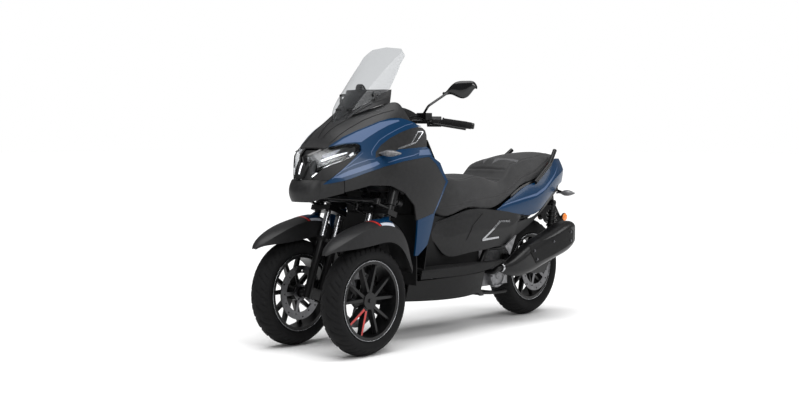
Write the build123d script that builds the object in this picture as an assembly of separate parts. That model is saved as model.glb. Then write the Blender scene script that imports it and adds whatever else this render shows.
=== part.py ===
from build123d import *
import os
from math import sin, cos, radians, sqrt

os.makedirs("parts", exist_ok=True)

# Reverse trike scooter: two leaning front wheels, one driven rear wheel
# Axes: +X forward, +Y to the left, +Z up, millimetres
# Lengthwise places are given as a distance ahead of the front axle

# Whole vehicle
LENGTH = 2250.0
WIDTH = 815.0
HEIGHT = 1470.0
WHEELBASE = 1595.0
TRACK = 470.0
FRONT_OVERHANG = 270.0
X_FRONT = LENGTH / 2 - FRONT_OVERHANG
A_REAR = -WHEELBASE
A_TAIL_END = FRONT_OVERHANG - LENGTH
KINGPIN_Y = TRACK / 2

# Steering geometry
CASTER = radians(20)
TRAIL = 68.0
STEER_ARM = 95.0

# Fits and gaps
FIT = 0.1
SEAT_GAP = 0.3
SHUT = 0.4

# Wheels
FRONT_TYRE_R = 262.0
FRONT_TYRE_W = 120.0
REAR_TYRE_R = 276.0
REAR_TYRE_W = 140.0
BEAD_R = 178.0
FLANGE = 12.0
RIM_WALL = 6.0
SPOKE_PAIRS = 5
DISC_R = 133.5
DISC_HOLE_R = 96.0
DISC_T = 5.0
DISC_HOLES = 15
DISC_DRILL_R = 5.0
AXLE_R = 10.0
HUB_R = 40.0
FRONT_DISC_Y = 42.0
REAR_DISC_Y = 84.0

# Panels
SKIN = 9.0
COVER = 6.0
SCREEN_T = 4.0

# Fork
FORK_Y = 95.0
FORK_AHEAD = 25.6
FORK_BEHIND = -59.0
STANCHION_R = 15.0
SLIDER_R = 20.0


def at(a, y, z):
    return Vector(X_FRONT + a, y, z)


def rod(p, q, r):
    line = q - p
    return Solid.make_cylinder(r, line.length, Plane(origin=p, z_dir=line.normalized()))


def block(a0, a1, y0, y1, z0, z1):
    box = Box(a1 - a0, y1 - y0, z1 - z0)
    return Pos(X_FRONT + (a0 + a1) / 2, (y0 + y1) / 2, (z0 + z1) / 2) * box


def pipe(points, r, bend):
    path = FilletPolyline(*points, radius=bend)
    start = Plane(origin=path @ 0, z_dir=path % 0)
    return sweep(start * Circle(r), path=path)


def flip(shape):
    return mirror(shape, about=Plane.XZ)


def both(shape):
    return Compound(children=[*shape.solids(), *flip(shape).solids()])


def group(*shapes):
    solids = []
    for shape in shapes:
        solids.extend(shape.solids())
    return Compound(children=solids)


def join(*shapes):
    total = shapes[0]
    for shape in shapes[1:]:
        total = total + shape
    return total


# Closed ring of points, straight from point to point
def ring(points):
    return Wire.make_polygon(points, close=True)


# Open chain of crowned pieces through the points
def chain(points, crown, out):
    edges = []
    for p, q, o in zip(points[:-1], points[1:], out):
        if crown == 0:
            edges.append(Edge.make_line(p, q))
        else:
            middle = (p + q) * 0.5 + o * ((q - p).length * crown)
            edges.append(Edge.make_three_point_arc(p, middle, q))
    return edges


# Wall section in a plane across the vehicle: outer points from low to high
def wall_section(a, outer, wall, crown=0.0, inset=0.0):
    normals = []
    for (y0, z0), (y1, z1) in zip(outer[:-1], outer[1:]):
        size = sqrt((y1 - y0) ** 2 + (z1 - z0) ** 2)
        normals.append(((z0 - z1) / size, (y1 - y0) / size))
    at_points = [normals[0]]
    for n0, n1 in zip(normals[:-1], normals[1:]):
        at_points.append(((n0[0] + n1[0]) / 2, (n0[1] + n1[1]) / 2))
    at_points.append(normals[-1])
    front = []
    back = []
    for (y, z), (ny, nz) in zip(outer, at_points):
        front.append(at(a, y + ny * inset, z + nz * inset))
        back.append(at(a, y + ny * (inset + wall), z + nz * (inset + wall)))
    out = [Vector(0, -ny, -nz) for ny, nz in normals]
    edges = chain(front, crown, out)
    edges.append(Edge.make_line(front[-1], back[-1]))
    edges.extend(chain(back, crown, out))
    edges.append(Edge.make_line(back[0], front[0]))
    return Wire(edges)


def skin_loft(rows, wall, crown=0.0, inset=0.0, ruled=False):
    wires = [wall_section(a, outer, wall, crown, inset) for a, outer in rows]
    return Solid.make_loft(wires, ruled)


# Prism seen from the side: outline of (ahead, up), from y0 to y1
def side_prism(outline, y0, y1, shrink=0.0):
    points = [at(a, y0, z) for a, z in outline]
    face = Face(ring(points))
    if shrink:
        face = Face(face.outer_wire().offset_2d(-shrink, Kind.INTERSECTION))
    return extrude(face, amount=y1 - y0, dir=(0, 1, 0))


# Prism seen from the front: outline of (across, up), from a0 to a1
def front_prism(outline, a0, a1, corner=0.0):
    points = [at(a0, y, z) for y, z in outline]
    face = Face(ring(points))
    if corner:
        face = face.fillet_2d(corner, face.vertices())
    return extrude(face, amount=a1 - a0, dir=(1, 0, 0))


# Prism seen from above: outline of (ahead, across), from z0 to z1
def plan_prism(outline, z0, z1):
    points = [at(a, y, z0) for a, y in outline]
    return extrude(Face(ring(points)), amount=z1 - z0, dir=(0, 0, 1))


# Bowed sheet in a level plane, from side to side through the centre
def plan_section(z, a_mid, a_side, half, wall):
    front = [at(a_side, half, z), at(a_mid, 0, z), at(a_side, -half, z)]
    back = [at(a_side - wall, half, z), at(a_mid - wall, 0, z), at(a_side - wall, -half, z)]
    edges = [
        Edge.make_three_point_arc(*front),
        Edge.make_line(front[2], back[2]),
        Edge.make_three_point_arc(back[2], back[1], back[0]),
        Edge.make_line(back[0], front[0]),
    ]
    return Wire(edges)


def biggest(shape):
    return max(shape.solids(), key=lambda s: s.volume)


def save(name, shape):
    solids = shape.solids()
    out = solids[0] if len(solids) == 1 else Compound(children=solids)
    export_step(out, "parts/" + name + ".step")


# Steering frame: u ahead square to the kingpin, v to the left, w up along the kingpin
PIN_Z = 700.0
PIN_A = TRAIL - PIN_Z * sin(CASTER) / cos(CASTER)
STEER = Plane(
    origin=at(PIN_A, 0, PIN_Z),
    x_dir=(cos(CASTER), 0, sin(CASTER)),
    z_dir=(-sin(CASTER), 0, cos(CASTER)),
)
COLUMN_U = -115.0


def steer(u, v, w):
    return STEER.from_local_coords(Vector(u, v, w))


def steer_block(u0, u1, v0, v1, w0, w1):
    box = Pos((u0 + u1) / 2, (v0 + v1) / 2, (w0 + w1) / 2) * Box(u1 - u0, v1 - v0, w1 - w0)
    return STEER.location * box


# Wheels
# Tyre: revolved section, half width and radius
def tyre(a, y, radius, width):
    half = width / 2
    bead = half * 0.74
    shoulder = half * 0.92
    drop = radius * 0.115
    lip = BEAD_R + FLANGE + 1
    section = [
        Edge.make_line(Vector(0, -bead, BEAD_R), Vector(0, bead, BEAD_R)),
        Edge.make_line(Vector(0, bead, BEAD_R), Vector(0, bead, lip)),
        Edge.make_three_point_arc(
            Vector(0, bead, lip),
            Vector(0, half, (lip + radius - drop) / 2),
            Vector(0, shoulder, radius - drop),
        ),
        Edge.make_three_point_arc(
            Vector(0, shoulder, radius - drop),
            Vector(0, 0, radius),
            Vector(0, -shoulder, radius - drop),
        ),
        Edge.make_three_point_arc(
            Vector(0, -shoulder, radius - drop),
            Vector(0, -half, (lip + radius - drop) / 2),
            Vector(0, -bead, lip),
        ),
        Edge.make_line(Vector(0, -bead, lip), Vector(0, -bead, BEAD_R)),
    ]
    solid = revolve(Face(Wire(section)), Axis.Y)
    return Pos(X_FRONT + a, y, radius) * solid


def ring_solid(y0, y1, r_in, r_out):
    tube = Cylinder(r_out, y1 - y0) - Cylinder(r_in, y1 - y0)
    return Pos(0, (y0 + y1) / 2, 0) * Rot(90, 0, 0) * tube


# Rim: barrel with two flanges, hub and paired spokes; dish is the spoke offset outward
def rim(a, y, radius, width, hub_in, hub_out, dish, bore):
    bead = width / 2 * 0.74
    barrel = ring_solid(-bead - SEAT_GAP, bead + SEAT_GAP, BEAD_R - RIM_WALL, BEAD_R - SEAT_GAP)
    for side in (-1, 1):
        edge = side * (bead + SEAT_GAP)
        low = min(edge, edge + side * 5)
        barrel = barrel + ring_solid(low, low + 5, BEAD_R - RIM_WALL, BEAD_R + FLANGE)
    hub = ring_solid(hub_in, hub_out, bore, HUB_R)
    spokes = []
    for pair in range(SPOKE_PAIRS):
        for lean in (-1, 1):
            foot = radians(360 / SPOKE_PAIRS * pair + 90 + lean * 8)
            head = radians(360 / SPOKE_PAIRS * pair + 90 + lean * 17)
            inner = Vector(cos(foot), 0, sin(foot)) * (HUB_R - 4)
            outer = Vector(cos(head), 0, sin(head)) * (BEAD_R - RIM_WALL / 2)
            along = (outer - inner).normalized()
            across = Vector(-along.Z, 0, along.X)
            wires = []
            for place, wide, low, high in (
                (inner, 13.0, dish - 16, dish + 14),
                (outer, 9.0, dish - 8, dish + 12),
            ):
                corners = [
                    place - across * wide + Vector(0, low, 0),
                    place + across * wide + Vector(0, low, 0),
                    place + across * (wide * 0.6) + Vector(0, high, 0),
                    place - across * (wide * 0.6) + Vector(0, high, 0),
                ]
                wires.append(ring(corners))
            spokes.append(Solid.make_loft(wires, True))
    bored = join(barrel, hub, *spokes) - Pos(0, 0, 0) * Rot(90, 0, 0) * Cylinder(bore, width * 3)
    return Pos(X_FRONT + a, y, radius) * bored


# Brake disc: drilled ring on a carrier with five arms
def disc(a, y, radius, y0, reach):
    plate = ring_solid(y0, y0 + DISC_T, DISC_HOLE_R, DISC_R)
    for i in range(DISC_HOLES):
        turn = radians(360 / DISC_HOLES * i)
        place = (DISC_R + DISC_HOLE_R) / 2 + (7 if i % 2 else -7)
        drill = Pos(place * cos(turn), y0 + DISC_T / 2, place * sin(turn)) * Rot(90, 0, 0)
        plate = plate - drill * Cylinder(DISC_DRILL_R, DISC_T * 2)
    carrier = ring_solid(y0, y0 + DISC_T, reach, reach + 16)
    for i in range(SPOKE_PAIRS):
        arm = Pos((reach + DISC_HOLE_R) / 2 + 6, y0 + DISC_T / 2, 0)
        arm = Rot(0, 360 / SPOKE_PAIRS * i, 0) * arm * Box(DISC_HOLE_R - reach + 4, DISC_T, 18)
        carrier = carrier + arm
    return Pos(X_FRONT + a, y, radius) * (plate + carrier)


front_tyre = tyre(0, KINGPIN_Y, FRONT_TYRE_R, FRONT_TYRE_W)
front_rim = rim(0, KINGPIN_Y, FRONT_TYRE_R, FRONT_TYRE_W, -34, 40, 22, AXLE_R + FIT)
front_disc = disc(0, KINGPIN_Y, FRONT_TYRE_R, -FRONT_DISC_Y - DISC_T, HUB_R - 15)
front_rim = front_rim + Pos(X_FRONT, KINGPIN_Y, FRONT_TYRE_R) * ring_solid(
    -FRONT_DISC_Y, -33, AXLE_R + FIT, HUB_R - 8
)
save("front_left_tyre", front_tyre)
save("front_left_rim", front_rim)
save("front_left_disc", front_disc)
save("front_right_tyre", flip(front_tyre))
save("front_right_rim", flip(front_rim))
save("front_right_disc", flip(front_disc))

rear_tyre = tyre(A_REAR, 0, REAR_TYRE_R, REAR_TYRE_W)
rear_rim = rim(A_REAR, 0, REAR_TYRE_R, REAR_TYRE_W, -62, REAR_DISC_Y, 18, AXLE_R + FIT)
rear_disc = disc(A_REAR, 0, REAR_TYRE_R, REAR_DISC_Y, HUB_R - 15)
save("rear_tyre", rear_tyre)
save("rear_rim", rear_rim)
save("rear_disc", rear_disc)

# Front suspension, left side, moving with the wheel
W_AXLE = STEER.to_local_coords(at(0, 0, FRONT_TYRE_R)).Z
LEG_V = KINGPIN_Y - FORK_Y
HOUSING_R = 26.0
HOUSING_W = 118.0
ARM_LOW_W = 30.0
ARM_HIGH_W = 90.0
BRACKET_W0 = -52.0
BRACKET_W1 = -26.0
KINGPIN_R = 14.0

kingpin = rod(steer(0, KINGPIN_Y, BRACKET_W0), steer(0, KINGPIN_Y, HOUSING_W), KINGPIN_R)
bracket = steer_block(-80, 48, LEG_V - 26, LEG_V + 24, BRACKET_W0, BRACKET_W1)
bridge = steer_block(-34, 30, LEG_V, KINGPIN_Y + 24, BRACKET_W0, BRACKET_W1)
steer_neck = rod(steer(0, KINGPIN_Y, BRACKET_W1), steer(0, KINGPIN_Y, -3), 22)
steer_arm = steer_block(0, STEER_ARM, KINGPIN_Y - 12, KINGPIN_Y + 12, BRACKET_W1, BRACKET_W1 + 8)
steer_pin = rod(
    steer(STEER_ARM, KINGPIN_Y, BRACKET_W1), steer(STEER_ARM, KINGPIN_Y, 4), 6
)
steer_eye = rod(
    steer(STEER_ARM, KINGPIN_Y, BRACKET_W1), steer(STEER_ARM, KINGPIN_Y, BRACKET_W1 + 8), 14
)
legs = []
for u in (FORK_AHEAD, FORK_BEHIND):
    legs.append(rod(steer(u, LEG_V, BRACKET_W1 - 4), steer(u, LEG_V, -250), STANCHION_R))
    legs.append(rod(steer(u, LEG_V, -200), steer(u, LEG_V, W_AXLE - 24), SLIDER_R))
lug = steer_block(FORK_BEHIND, FORK_AHEAD, LEG_V - 16, LEG_V + 16, W_AXLE - 18, W_AXLE + 34)
tie_low = steer_block(FORK_BEHIND, FORK_AHEAD, LEG_V - 12, LEG_V + 12, -240, -205)
axle = rod(at(0, LEG_V, FRONT_TYRE_R), at(0, KINGPIN_Y + 46, FRONT_TYRE_R), AXLE_R)
spacer = rod(at(0, LEG_V, FRONT_TYRE_R), at(0, KINGPIN_Y - 53, FRONT_TYRE_R), 20)
fork = join(kingpin, bracket, bridge, steer_neck, steer_arm, steer_eye, steer_pin)
fork = join(fork, *legs, lug, tie_low, axle, spacer)
save("front_left_fork", fork)
save("front_right_fork", flip(fork))

# Brake caliper, left front, behind the fork legs
CAL_U = FORK_BEHIND - 20
CAL_W = W_AXLE + 48
disc_y = KINGPIN_Y - FRONT_DISC_Y - DISC_T / 2
caliper = steer_block(CAL_U - 34, CAL_U + 30, disc_y - 24, disc_y + 26, CAL_W - 40, CAL_W + 40)
caliper = fillet(caliper.edges().filter_by(Axis.Y), 10)
caliper = caliper - Pos(X_FRONT, disc_y, FRONT_TYRE_R) * ring_solid(
    -DISC_T / 2 - 5, DISC_T / 2 + 5, 20, DISC_R + 6
)
hanger = steer_block(CAL_U - 24, CAL_U + 12, LEG_V - 4, disc_y - 20, CAL_W - 20, CAL_W + 20)
caliper = join(biggest(caliper), hanger) - fork
save("front_left_caliper", biggest(caliper))
save("front_right_caliper", flip(biggest(caliper)))

# Front fender: radial sections about the front axle
FENDER_WALL = 4.0
FENDER_ROWS = [
    # turn, edge radius, crease radius, crown radius, half width
    (41.0, 348.0, 352.0, 356.0, 14.0),
    (50.0, 322.0, 343.0, 358.0, 46.0),
    (62.0, 286.0, 334.0, 350.0, 66.0),
    (86.0, 263.0, 341.0, 352.0, 76.0),
    (100.0, 274.0, 356.0, 378.0, 77.0),
    (112.0, 290.0, 366.0, 400.0, 78.0),
    (122.0, 298.0, 366.0, 396.0, 78.0),
    (136.0, 294.0, 338.0, 358.0, 76.0),
    (150.0, 288.0, 312.0, 326.0, 74.0),
    (158.0, 286.0, 299.0, 310.0, 72.0),
]


def fender_section(turn, r_edge, r_crease, r_crown, half):
    way = Vector(cos(radians(turn)), 0, sin(radians(turn)))

    def spot(y, r):
        return at(0, KINGPIN_Y + y, FRONT_TYRE_R) + way * r

    t = FENDER_WALL
    crease = half * 0.86
    outer = [spot(half, r_edge), spot(crease, r_crease), spot(-crease, r_crease), spot(-half, r_edge)]
    inner = [
        spot(half - t, r_edge),
        spot(crease - t, r_crease - t),
        spot(-crease + t, r_crease - t),
        spot(-half + t, r_edge),
    ]
    edges = [
        Edge.make_line(outer[0], outer[1]),
        Edge.make_three_point_arc(outer[1], spot(0, r_crown), outer[2]),
        Edge.make_line(outer[2], outer[3]),
        Edge.make_line(outer[3], inner[3]),
        Edge.make_line(inner[3], inner[2]),
        Edge.make_three_point_arc(inner[2], spot(0, r_crown - t), inner[1]),
        Edge.make_line(inner[1], inner[0]),
        Edge.make_line(inner[0], outer[0]),
    ]
    return Wire(edges)


fender = Solid.make_loft([fender_section(*row) for row in FENDER_ROWS])
for u in (FORK_AHEAD, FORK_BEHIND):
    fender = fender - rod(steer(u, LEG_V, 20), steer(u, LEG_V, W_AXLE), SLIDER_R + 4)
fender_post = rod(steer(0, KINGPIN_Y, -90), steer(0, KINGPIN_Y, BRACKET_W0), 16) - fender
fender_post = max(fender_post.solids(), key=lambda s: s.center().Z)
fender = biggest(biggest(fender) + fender_post - fork)
save("front_left_fender", fender)
save("front_right_fender", flip(fender))

# Leaning linkage: two cross arms and the two kingpin housings
ARM_U0 = -64.0
ARM_U1 = -32.0
ARM_BOSS_R = 20.0
ARM_PIN_R = 10.0


def cross_arm(w):
    arm = steer_block(ARM_U0 + 4, ARM_U1 - 4, -KINGPIN_Y, KINGPIN_Y, w - 13, w + 13)
    for v in (-KINGPIN_Y, 0, KINGPIN_Y):
        arm = arm + rod(steer(ARM_U0, v, w), steer(ARM_U1, v, w), ARM_BOSS_R)
    for v in (-KINGPIN_Y, 0, KINGPIN_Y):
        arm = arm - rod(steer(ARM_U0 - 9, v, w), steer(ARM_U1 + 9, v, w), ARM_PIN_R + FIT)
    return arm


def housing():
    body = rod(steer(0, KINGPIN_Y, 0), steer(0, KINGPIN_Y, HOUSING_W), HOUSING_R)
    for w in (ARM_LOW_W, ARM_HIGH_W):
        body = body + rod(steer(0, KINGPIN_Y, w), steer(ARM_U1 + SEAT_GAP, KINGPIN_Y, w), 16)
        body = body + rod(steer(0, KINGPIN_Y, w), steer(ARM_U0 - 3, KINGPIN_Y, w), ARM_PIN_R)
    bore = rod(steer(0, KINGPIN_Y, -9), steer(0, KINGPIN_Y, HOUSING_W + 9), KINGPIN_R + FIT)
    return body - bore


save("lean_linkage", group(cross_arm(ARM_LOW_W), cross_arm(ARM_HIGH_W), both(housing())))

# Tie rod: cross bar with a tail to the steering column arm
TIE_W = -9.0
TIE_R = 7.0
tie_bar = rod(steer(STEER_ARM, -KINGPIN_Y, TIE_W), steer(STEER_ARM, KINGPIN_Y, TIE_W), TIE_R)
tie_tail = rod(steer(COLUMN_U + STEER_ARM, 0, TIE_W), steer(STEER_ARM, 0, TIE_W), TIE_R)
tie_rod = tie_bar + tie_tail
for u, v in ((STEER_ARM, -KINGPIN_Y), (STEER_ARM, KINGPIN_Y), (COLUMN_U + STEER_ARM, 0)):
    tie_rod = tie_rod + rod(steer(u, v, TIE_W - 8), steer(u, v, TIE_W + 8), 15)
for u, v in ((STEER_ARM, -KINGPIN_Y), (STEER_ARM, KINGPIN_Y), (COLUMN_U + STEER_ARM, 0)):
    tie_rod = tie_rod - rod(steer(u, v, TIE_W - 20), steer(u, v, TIE_W + 20), 6 + FIT)
save("tie_rod", tie_rod)

# Steering column and handlebar
BAR_W = 440.0
BAR_R = 11.0
GRIP_R = 17.0
column = rod(steer(COLUMN_U, 0, -30), steer(COLUMN_U, 0, BAR_W), 13)
column_arm = steer_block(COLUMN_U, COLUMN_U + STEER_ARM, -12, 12, -30, -19)
column_eye = rod(
    steer(COLUMN_U + STEER_ARM, 0, -30), steer(COLUMN_U + STEER_ARM, 0, -19), 14
)
column_pin = rod(steer(COLUMN_U + STEER_ARM, 0, -30), steer(COLUMN_U + STEER_ARM, 0, 4), 6)
BAR_MID = at(-440, 0, 1078)
BAR_BEND = at(-470, 120, 1100)
BAR_IN = at(-559, 250, 1099)
BAR_END = at(-628, 370, 1079)
half_bar = pipe([BAR_MID, BAR_BEND, BAR_IN, BAR_END], BAR_R, 30)
bar = half_bar + flip(half_bar)
clamp = rod(at(-440, -24, 1078), at(-440, 24, 1078), 24)
lever = pipe([at(-505, 205, 1092), at(-500, 240, 1088), at(-575, 385, 1062)], 6, 20)
perch = rod(at(-505, 200, 1100), at(-540, 225, 1100), 16)
switch = rod(BAR_IN + (BAR_BEND - BAR_IN) * 0.48, BAR_IN + (BAR_BEND - BAR_IN) * 0.04, 26)
reservoir = block(-500, -452, 172, 232, 1108, 1142)
controls = join(switch, perch, lever, reservoir)
handlebar = join(column, column_arm, column_eye, column_pin, bar, clamp, controls, flip(controls))
save("handlebar", handlebar)
grip = rod(BAR_IN, BAR_END + (BAR_END - BAR_IN).normalized() * 6, GRIP_R) - handlebar
save("grips", both(biggest(grip)))

# Cover over the middle of the handlebar
COVER_ROWS = [
    # ahead, half width, underside, top
    (-392.0, 70.0, 1092.0, 1150.0),
    (-440.0, 104.0, 1070.0, 1168.0),
    (-530.0, 108.0, 1066.0, 1170.0),
    (-585.0, 90.0, 1086.0, 1150.0),
]
cover_wires = []
for a, half, low, high in COVER_ROWS:
    mid = (low + high) / 2
    cover_wires.append(
        Wire(
            [
                Edge.make_three_point_arc(at(a, half, mid), at(a, 0, high), at(a, -half, mid)),
                Edge.make_three_point_arc(at(a, -half, mid), at(a, 0, low), at(a, half, mid)),
            ]
        )
    )
bar_cover = Solid.make_loft(cover_wires) - handlebar
save("handlebar_cover", biggest(bar_cover))

# Mirrors on stems
MIRROR_TIP = WIDTH / 2
stem = pipe([at(-476, 200, 1140), at(-476, 228, 1176), at(-572, 292, 1252)], 6, 25)
MIRROR_ROWS = [
    # across, ahead, half depth, low edge, high edge
    (258.0, -556.0, 7.0, 1230.0, 1246.0),
    (290.0, -572.0, 17.0, 1233.0, 1270.0),
    (318.0, -586.0, 20.0, 1222.0, 1295.0),
    (345.0, -600.0, 20.0, 1213.0, 1300.0),
    (382.0, -619.0, 16.0, 1240.0, 1300.0),
    (MIRROR_TIP, -632.0, 6.0, 1259.0, 1276.0),
]
head = []
for y, a, deep, low, high in MIRROR_ROWS:
    plane = Plane(origin=at(a, y, (low + high) / 2), x_dir=(1, 0, 0), z_dir=(0, 1, 0))
    head.append((plane * Ellipse(deep, (high - low) / 2)).wire())
mirror_head = Solid.make_loft(head)
one_mirror = (mirror_head + stem) - handlebar
save("mirrors", both(biggest(one_mirror)))

# Front body skin: one side surface that the panels are cut from
SKIN_ROWS = [
    # ahead, belt half width, lower edge, belt height, top height, top half width
    (205.0, 34.0, 700.0, 800.0, 880.0, 24.0),
    (133.0, 97.0, 700.0, 804.0, 961.0, 76.0),
    (55.0, 165.0, 700.0, 822.0, 1010.0, 102.0),
    (-30.0, 219.0, 700.0, 856.0, 1058.0, 128.0),
    (-119.0, 260.0, 680.0, 886.0, 1092.0, 157.0),
    (-229.0, 283.0, 560.0, 909.0, 1122.0, 189.0),
    (-339.0, 291.0, 430.0, 922.0, 1109.0, 235.0),
    (-426.0, 289.0, 430.0, 930.0, 1066.0, 258.0),
    (-503.0, 278.0, 430.0, 922.0, 1010.0, 263.0),
    (-585.0, 271.0, 430.0, 880.0, 940.0, 262.0),
]
LOWER_TUCK = 8.0


def skin_rows():
    rows = []
    for a, wide, low, belt, high, top in SKIN_ROWS:
        rows.append((a, [(wide - LOWER_TUCK, low), (wide, belt), (top, high)]))
    return rows


side_skin = skin_loft(skin_rows(), SKIN, 0.035)
back_skin = skin_loft(skin_rows(), SKIN, 0.035, 36.0)

# Panel outlines seen from the side, ahead of the axle and up
CHIN_TOP = 826.0
BELT = [(52, 823), (-30, 856), (-119, 886), (-229, 909), (-339, 922), (-408, 927)]
SHIELD_REAR = [(-408, 927), (-462, 893), (-552, 802), (-428, 652)]
HEADLAMP = [
    (177, 936), (80, 982), (19, 993), (-30, 996), (-44, 985),
    (-38, 962), (8, 932), (56, 912), (93, 898), (129, 880), (168, 838),
]
BLUE = [(135, 803), *BELT, (-440, 929), (-422, 962), (-399, 976), (-440, 1040), (-420, 1068)]
BLUE = BLUE + [(-370, 1083), (-339, 1099), (-305, 1111), (-274, 1116), (-230, 1114), (-174, 1101)]
BLUE = BLUE + [(-114, 1079), (-48, 1055), (15, 1027), (76, 990), (88, 981), (19, 990), (-38, 962)]
VENT = [
    (-88, 928), (-97, 955), (-132, 988), (-189, 1020), (-253, 1046), (-315, 1065),
    (-366, 1073), (-393, 1070), (-411, 1056), (-413, 1034), (-399, 977), (-218, 966), (-150, 946),
]
VENT_CUT = [*VENT[:7], (-470, 1084), (-470, 977), *VENT[10:]]
SIDE = [
    (55, 822), *BELT, *SHIELD_REAR[1:],
    (-304, 623), (-288, 698), (-228, 759), (-149, 795), (-49, 798), (55, 768),
]
EDGE_STRIP = [*SHIELD_REAR, (-440, 650), (-572, 801), (-508, 896), (-434, 929)]
LOWER_BLUE = [(-312, 624.9), (-428, 652), (-441, 650), (-392, 499), (-330, 449), (-312, 449)]
CHEEK = [
    (-38, 962), (111, CHIN_TOP), (205, CHIN_TOP), (205, 838), (168, 838),
    (129, 880), (93, 898), (56, 912), (8, 932),
]
Y_IN = 4.0
Y_OUT = 330.0

lamp_cut = side_prism(HEADLAMP, Y_IN, Y_OUT)
vent_cut = side_prism(VENT_CUT, Y_IN, Y_OUT)
blue = side_skin & side_prism(BLUE, Y_IN, Y_OUT, SHUT)
blue = biggest(blue - lamp_cut - vent_cut)
save("front_side_panels", both(blue))
vent = biggest(side_skin & side_prism(VENT, Y_IN, Y_OUT, SHUT))
dark_side = biggest(side_skin & side_prism(SIDE, Y_IN, Y_OUT, SHUT))
save("leg_shield_sides", group(both(dark_side), both(vent)))
strip = biggest(side_skin & side_prism(EDGE_STRIP, Y_IN, Y_OUT, SHUT))
lower_blue = biggest(side_skin & side_prism(LOWER_BLUE, Y_IN, Y_OUT, SHUT))
save("leg_shield_edges", group(both(strip), both(lower_blue)))
lens = biggest(side_skin & side_prism(HEADLAMP, Y_IN, Y_OUT, SHUT))
save("headlamp_lenses", both(lens))
lamp_back = biggest(back_skin & side_prism(HEADLAMP, Y_IN, Y_OUT))

# Nose: chin below the headlamps and the middle panel between them
CHIN_ROWS = [
    # up, middle ahead, side ahead, half width
    (705.0, 190.0, 57.0, 152.0),
    (770.0, 222.0, 57.0, 163.0),
    (CHIN_TOP, 200.0, 57.0, 161.0),
]
MIDDLE_VIEW = [(130, 0), (130, 64), (220, 64), (220, 0)]
CHIN_CUT = [(260, 690), (260, 724), (185, 722), (57, 764), (0, 764), (0, 690)]


def nose_section(z, mid, side, half, wall):
    bend = side + (mid - side) * 0.52
    wide = half * 0.57
    outer = [at(side, half, z), at(bend, wide, z), at(mid, 0, z), at(bend, -wide, z), at(side, -half, z)]
    inner = [
        at(side, half - wall * 1.3, z),
        at(bend - wall, wide - wall * 0.8, z),
        at(mid - wall * 1.5, 0, z),
        at(bend - wall, -wide + wall * 0.8, z),
        at(side, -half + wall * 1.3, z),
    ]
    edges = [
        Edge.make_line(outer[0], outer[1]),
        Edge.make_three_point_arc(outer[1], outer[2], outer[3]),
        Edge.make_line(outer[3], outer[4]),
        Edge.make_line(outer[4], inner[4]),
        Edge.make_line(inner[4], inner[3]),
        Edge.make_three_point_arc(inner[3], inner[2], inner[1]),
        Edge.make_line(inner[1], inner[0]),
        Edge.make_line(inner[0], outer[0]),
    ]
    return Wire(edges)


chin = Solid.make_loft([nose_section(z, mid, side, half, SKIN) for z, mid, side, half in CHIN_ROWS])
chin = chin - side_prism(CHIN_CUT, -Y_OUT, Y_OUT)
middle = Solid.make_loft(
    [
        plan_section(800, 196, 150, 62, SKIN * 2),
        plan_section(880, 180, 140, 58, SKIN * 2),
        plan_section(962, 120, 96, 48, SKIN * 2),
    ]
)
nose = join(biggest(chin), middle)
nose = nose - blue - flip(blue) - lens - flip(lens)
nose = biggest(nose - dark_side - flip(dark_side))
cheek = biggest(side_skin & side_prism(CHEEK, Y_IN, Y_OUT, SHUT))
cheek = biggest(cheek - plan_prism(MIDDLE_VIEW, CHIN_TOP - 90, CHIN_TOP + 140))
save("nose", group(nose, both(cheek)))

# Front cowl: bonnet halves that part around the screen
COWL_ROWS = [
    # ahead, edge half width, edge height, inner half width, inner height
    (100.0, 88.0, 972.0, -117.0, 958.0),
    (30.0, 112.0, 1017.0, -65.0, 1041.0),
    (-30.0, 133.0, 1046.0, -20.0, 1089.0),
    (-75.0, 148.0, 1064.0, 14.0, 1108.0),
    (-120.0, 162.0, 1080.0, 47.0, 1128.0),
    (-200.0, 184.0, 1107.0, 100.0, 1162.0),
    (-278.0, 208.0, 1116.0, 150.0, 1190.0),
    (-340.0, 233.0, 1099.0, 190.0, 1136.0),
]
cowl_half = skin_loft(
    [(a, [(y0, z0), (y1, z1)]) for a, y0, z0, y1, z1 in COWL_ROWS], COVER, 0.06
)
cowl_half = biggest((cowl_half & block(-400, 200, 0, Y_OUT, 900, 1250)) - blue - lens)
MOUNT_ROWS = [(1085.0, -56.0, -290.0), (1185.0, -152.0, -286.0), (1262.0, -226.0, -290.0)]
mount = Solid.make_loft([plan_section(z, mid, side, 150, COVER) for z, mid, side in MOUNT_ROWS])
MOUNT_VIEW = [(0, 1092), (104, 1156), (148, 1188), (148, 1254), (-148, 1254), (-148, 1188), (-104, 1156)]
mount = mount & front_prism(MOUNT_VIEW, -420, 0)
cowl = join(cowl_half, flip(cowl_half), mount) - nose
lamp_back = biggest(lamp_back - nose - cowl)
save("headlamp_housings", both(lamp_back))

# Windscreen: bowed sheet cut to its outline
SCREEN_ROWS = [
    # up, middle ahead, side ahead
    (1080.0, -22.0, -150.0),
    (1180.0, -122.0, -236.0),
    (1300.0, -248.0, -328.0),
    (HEIGHT + 12, -432.0, -462.0),
]
SCREEN_CORNER = 14.0
SCREEN_VIEW = [
    (0, 1090), (86, 1168), (154, 1254), (147, 1336), (139, 1380), (138, 1424), (96, 1460), (0, HEIGHT),
]
sheet = Solid.make_loft([plan_section(z, mid, side, 175, SCREEN_T) for z, mid, side in SCREEN_ROWS])
view = SCREEN_VIEW + [(-y, z) for y, z in reversed(SCREEN_VIEW[1:-1])]
screen = biggest(sheet & front_prism(view, -600, 60, SCREEN_CORNER))
save("windscreen", screen)
for y, z in ((36, 1156), (-36, 1156), (108, 1228), (-108, 1228)):
    boss = rod(at(-360, y, z), at(40, y, z), 7) - screen - mount
    cowl = cowl + sorted(boss.solids(), key=lambda s: s.center().X)[1]
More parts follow.
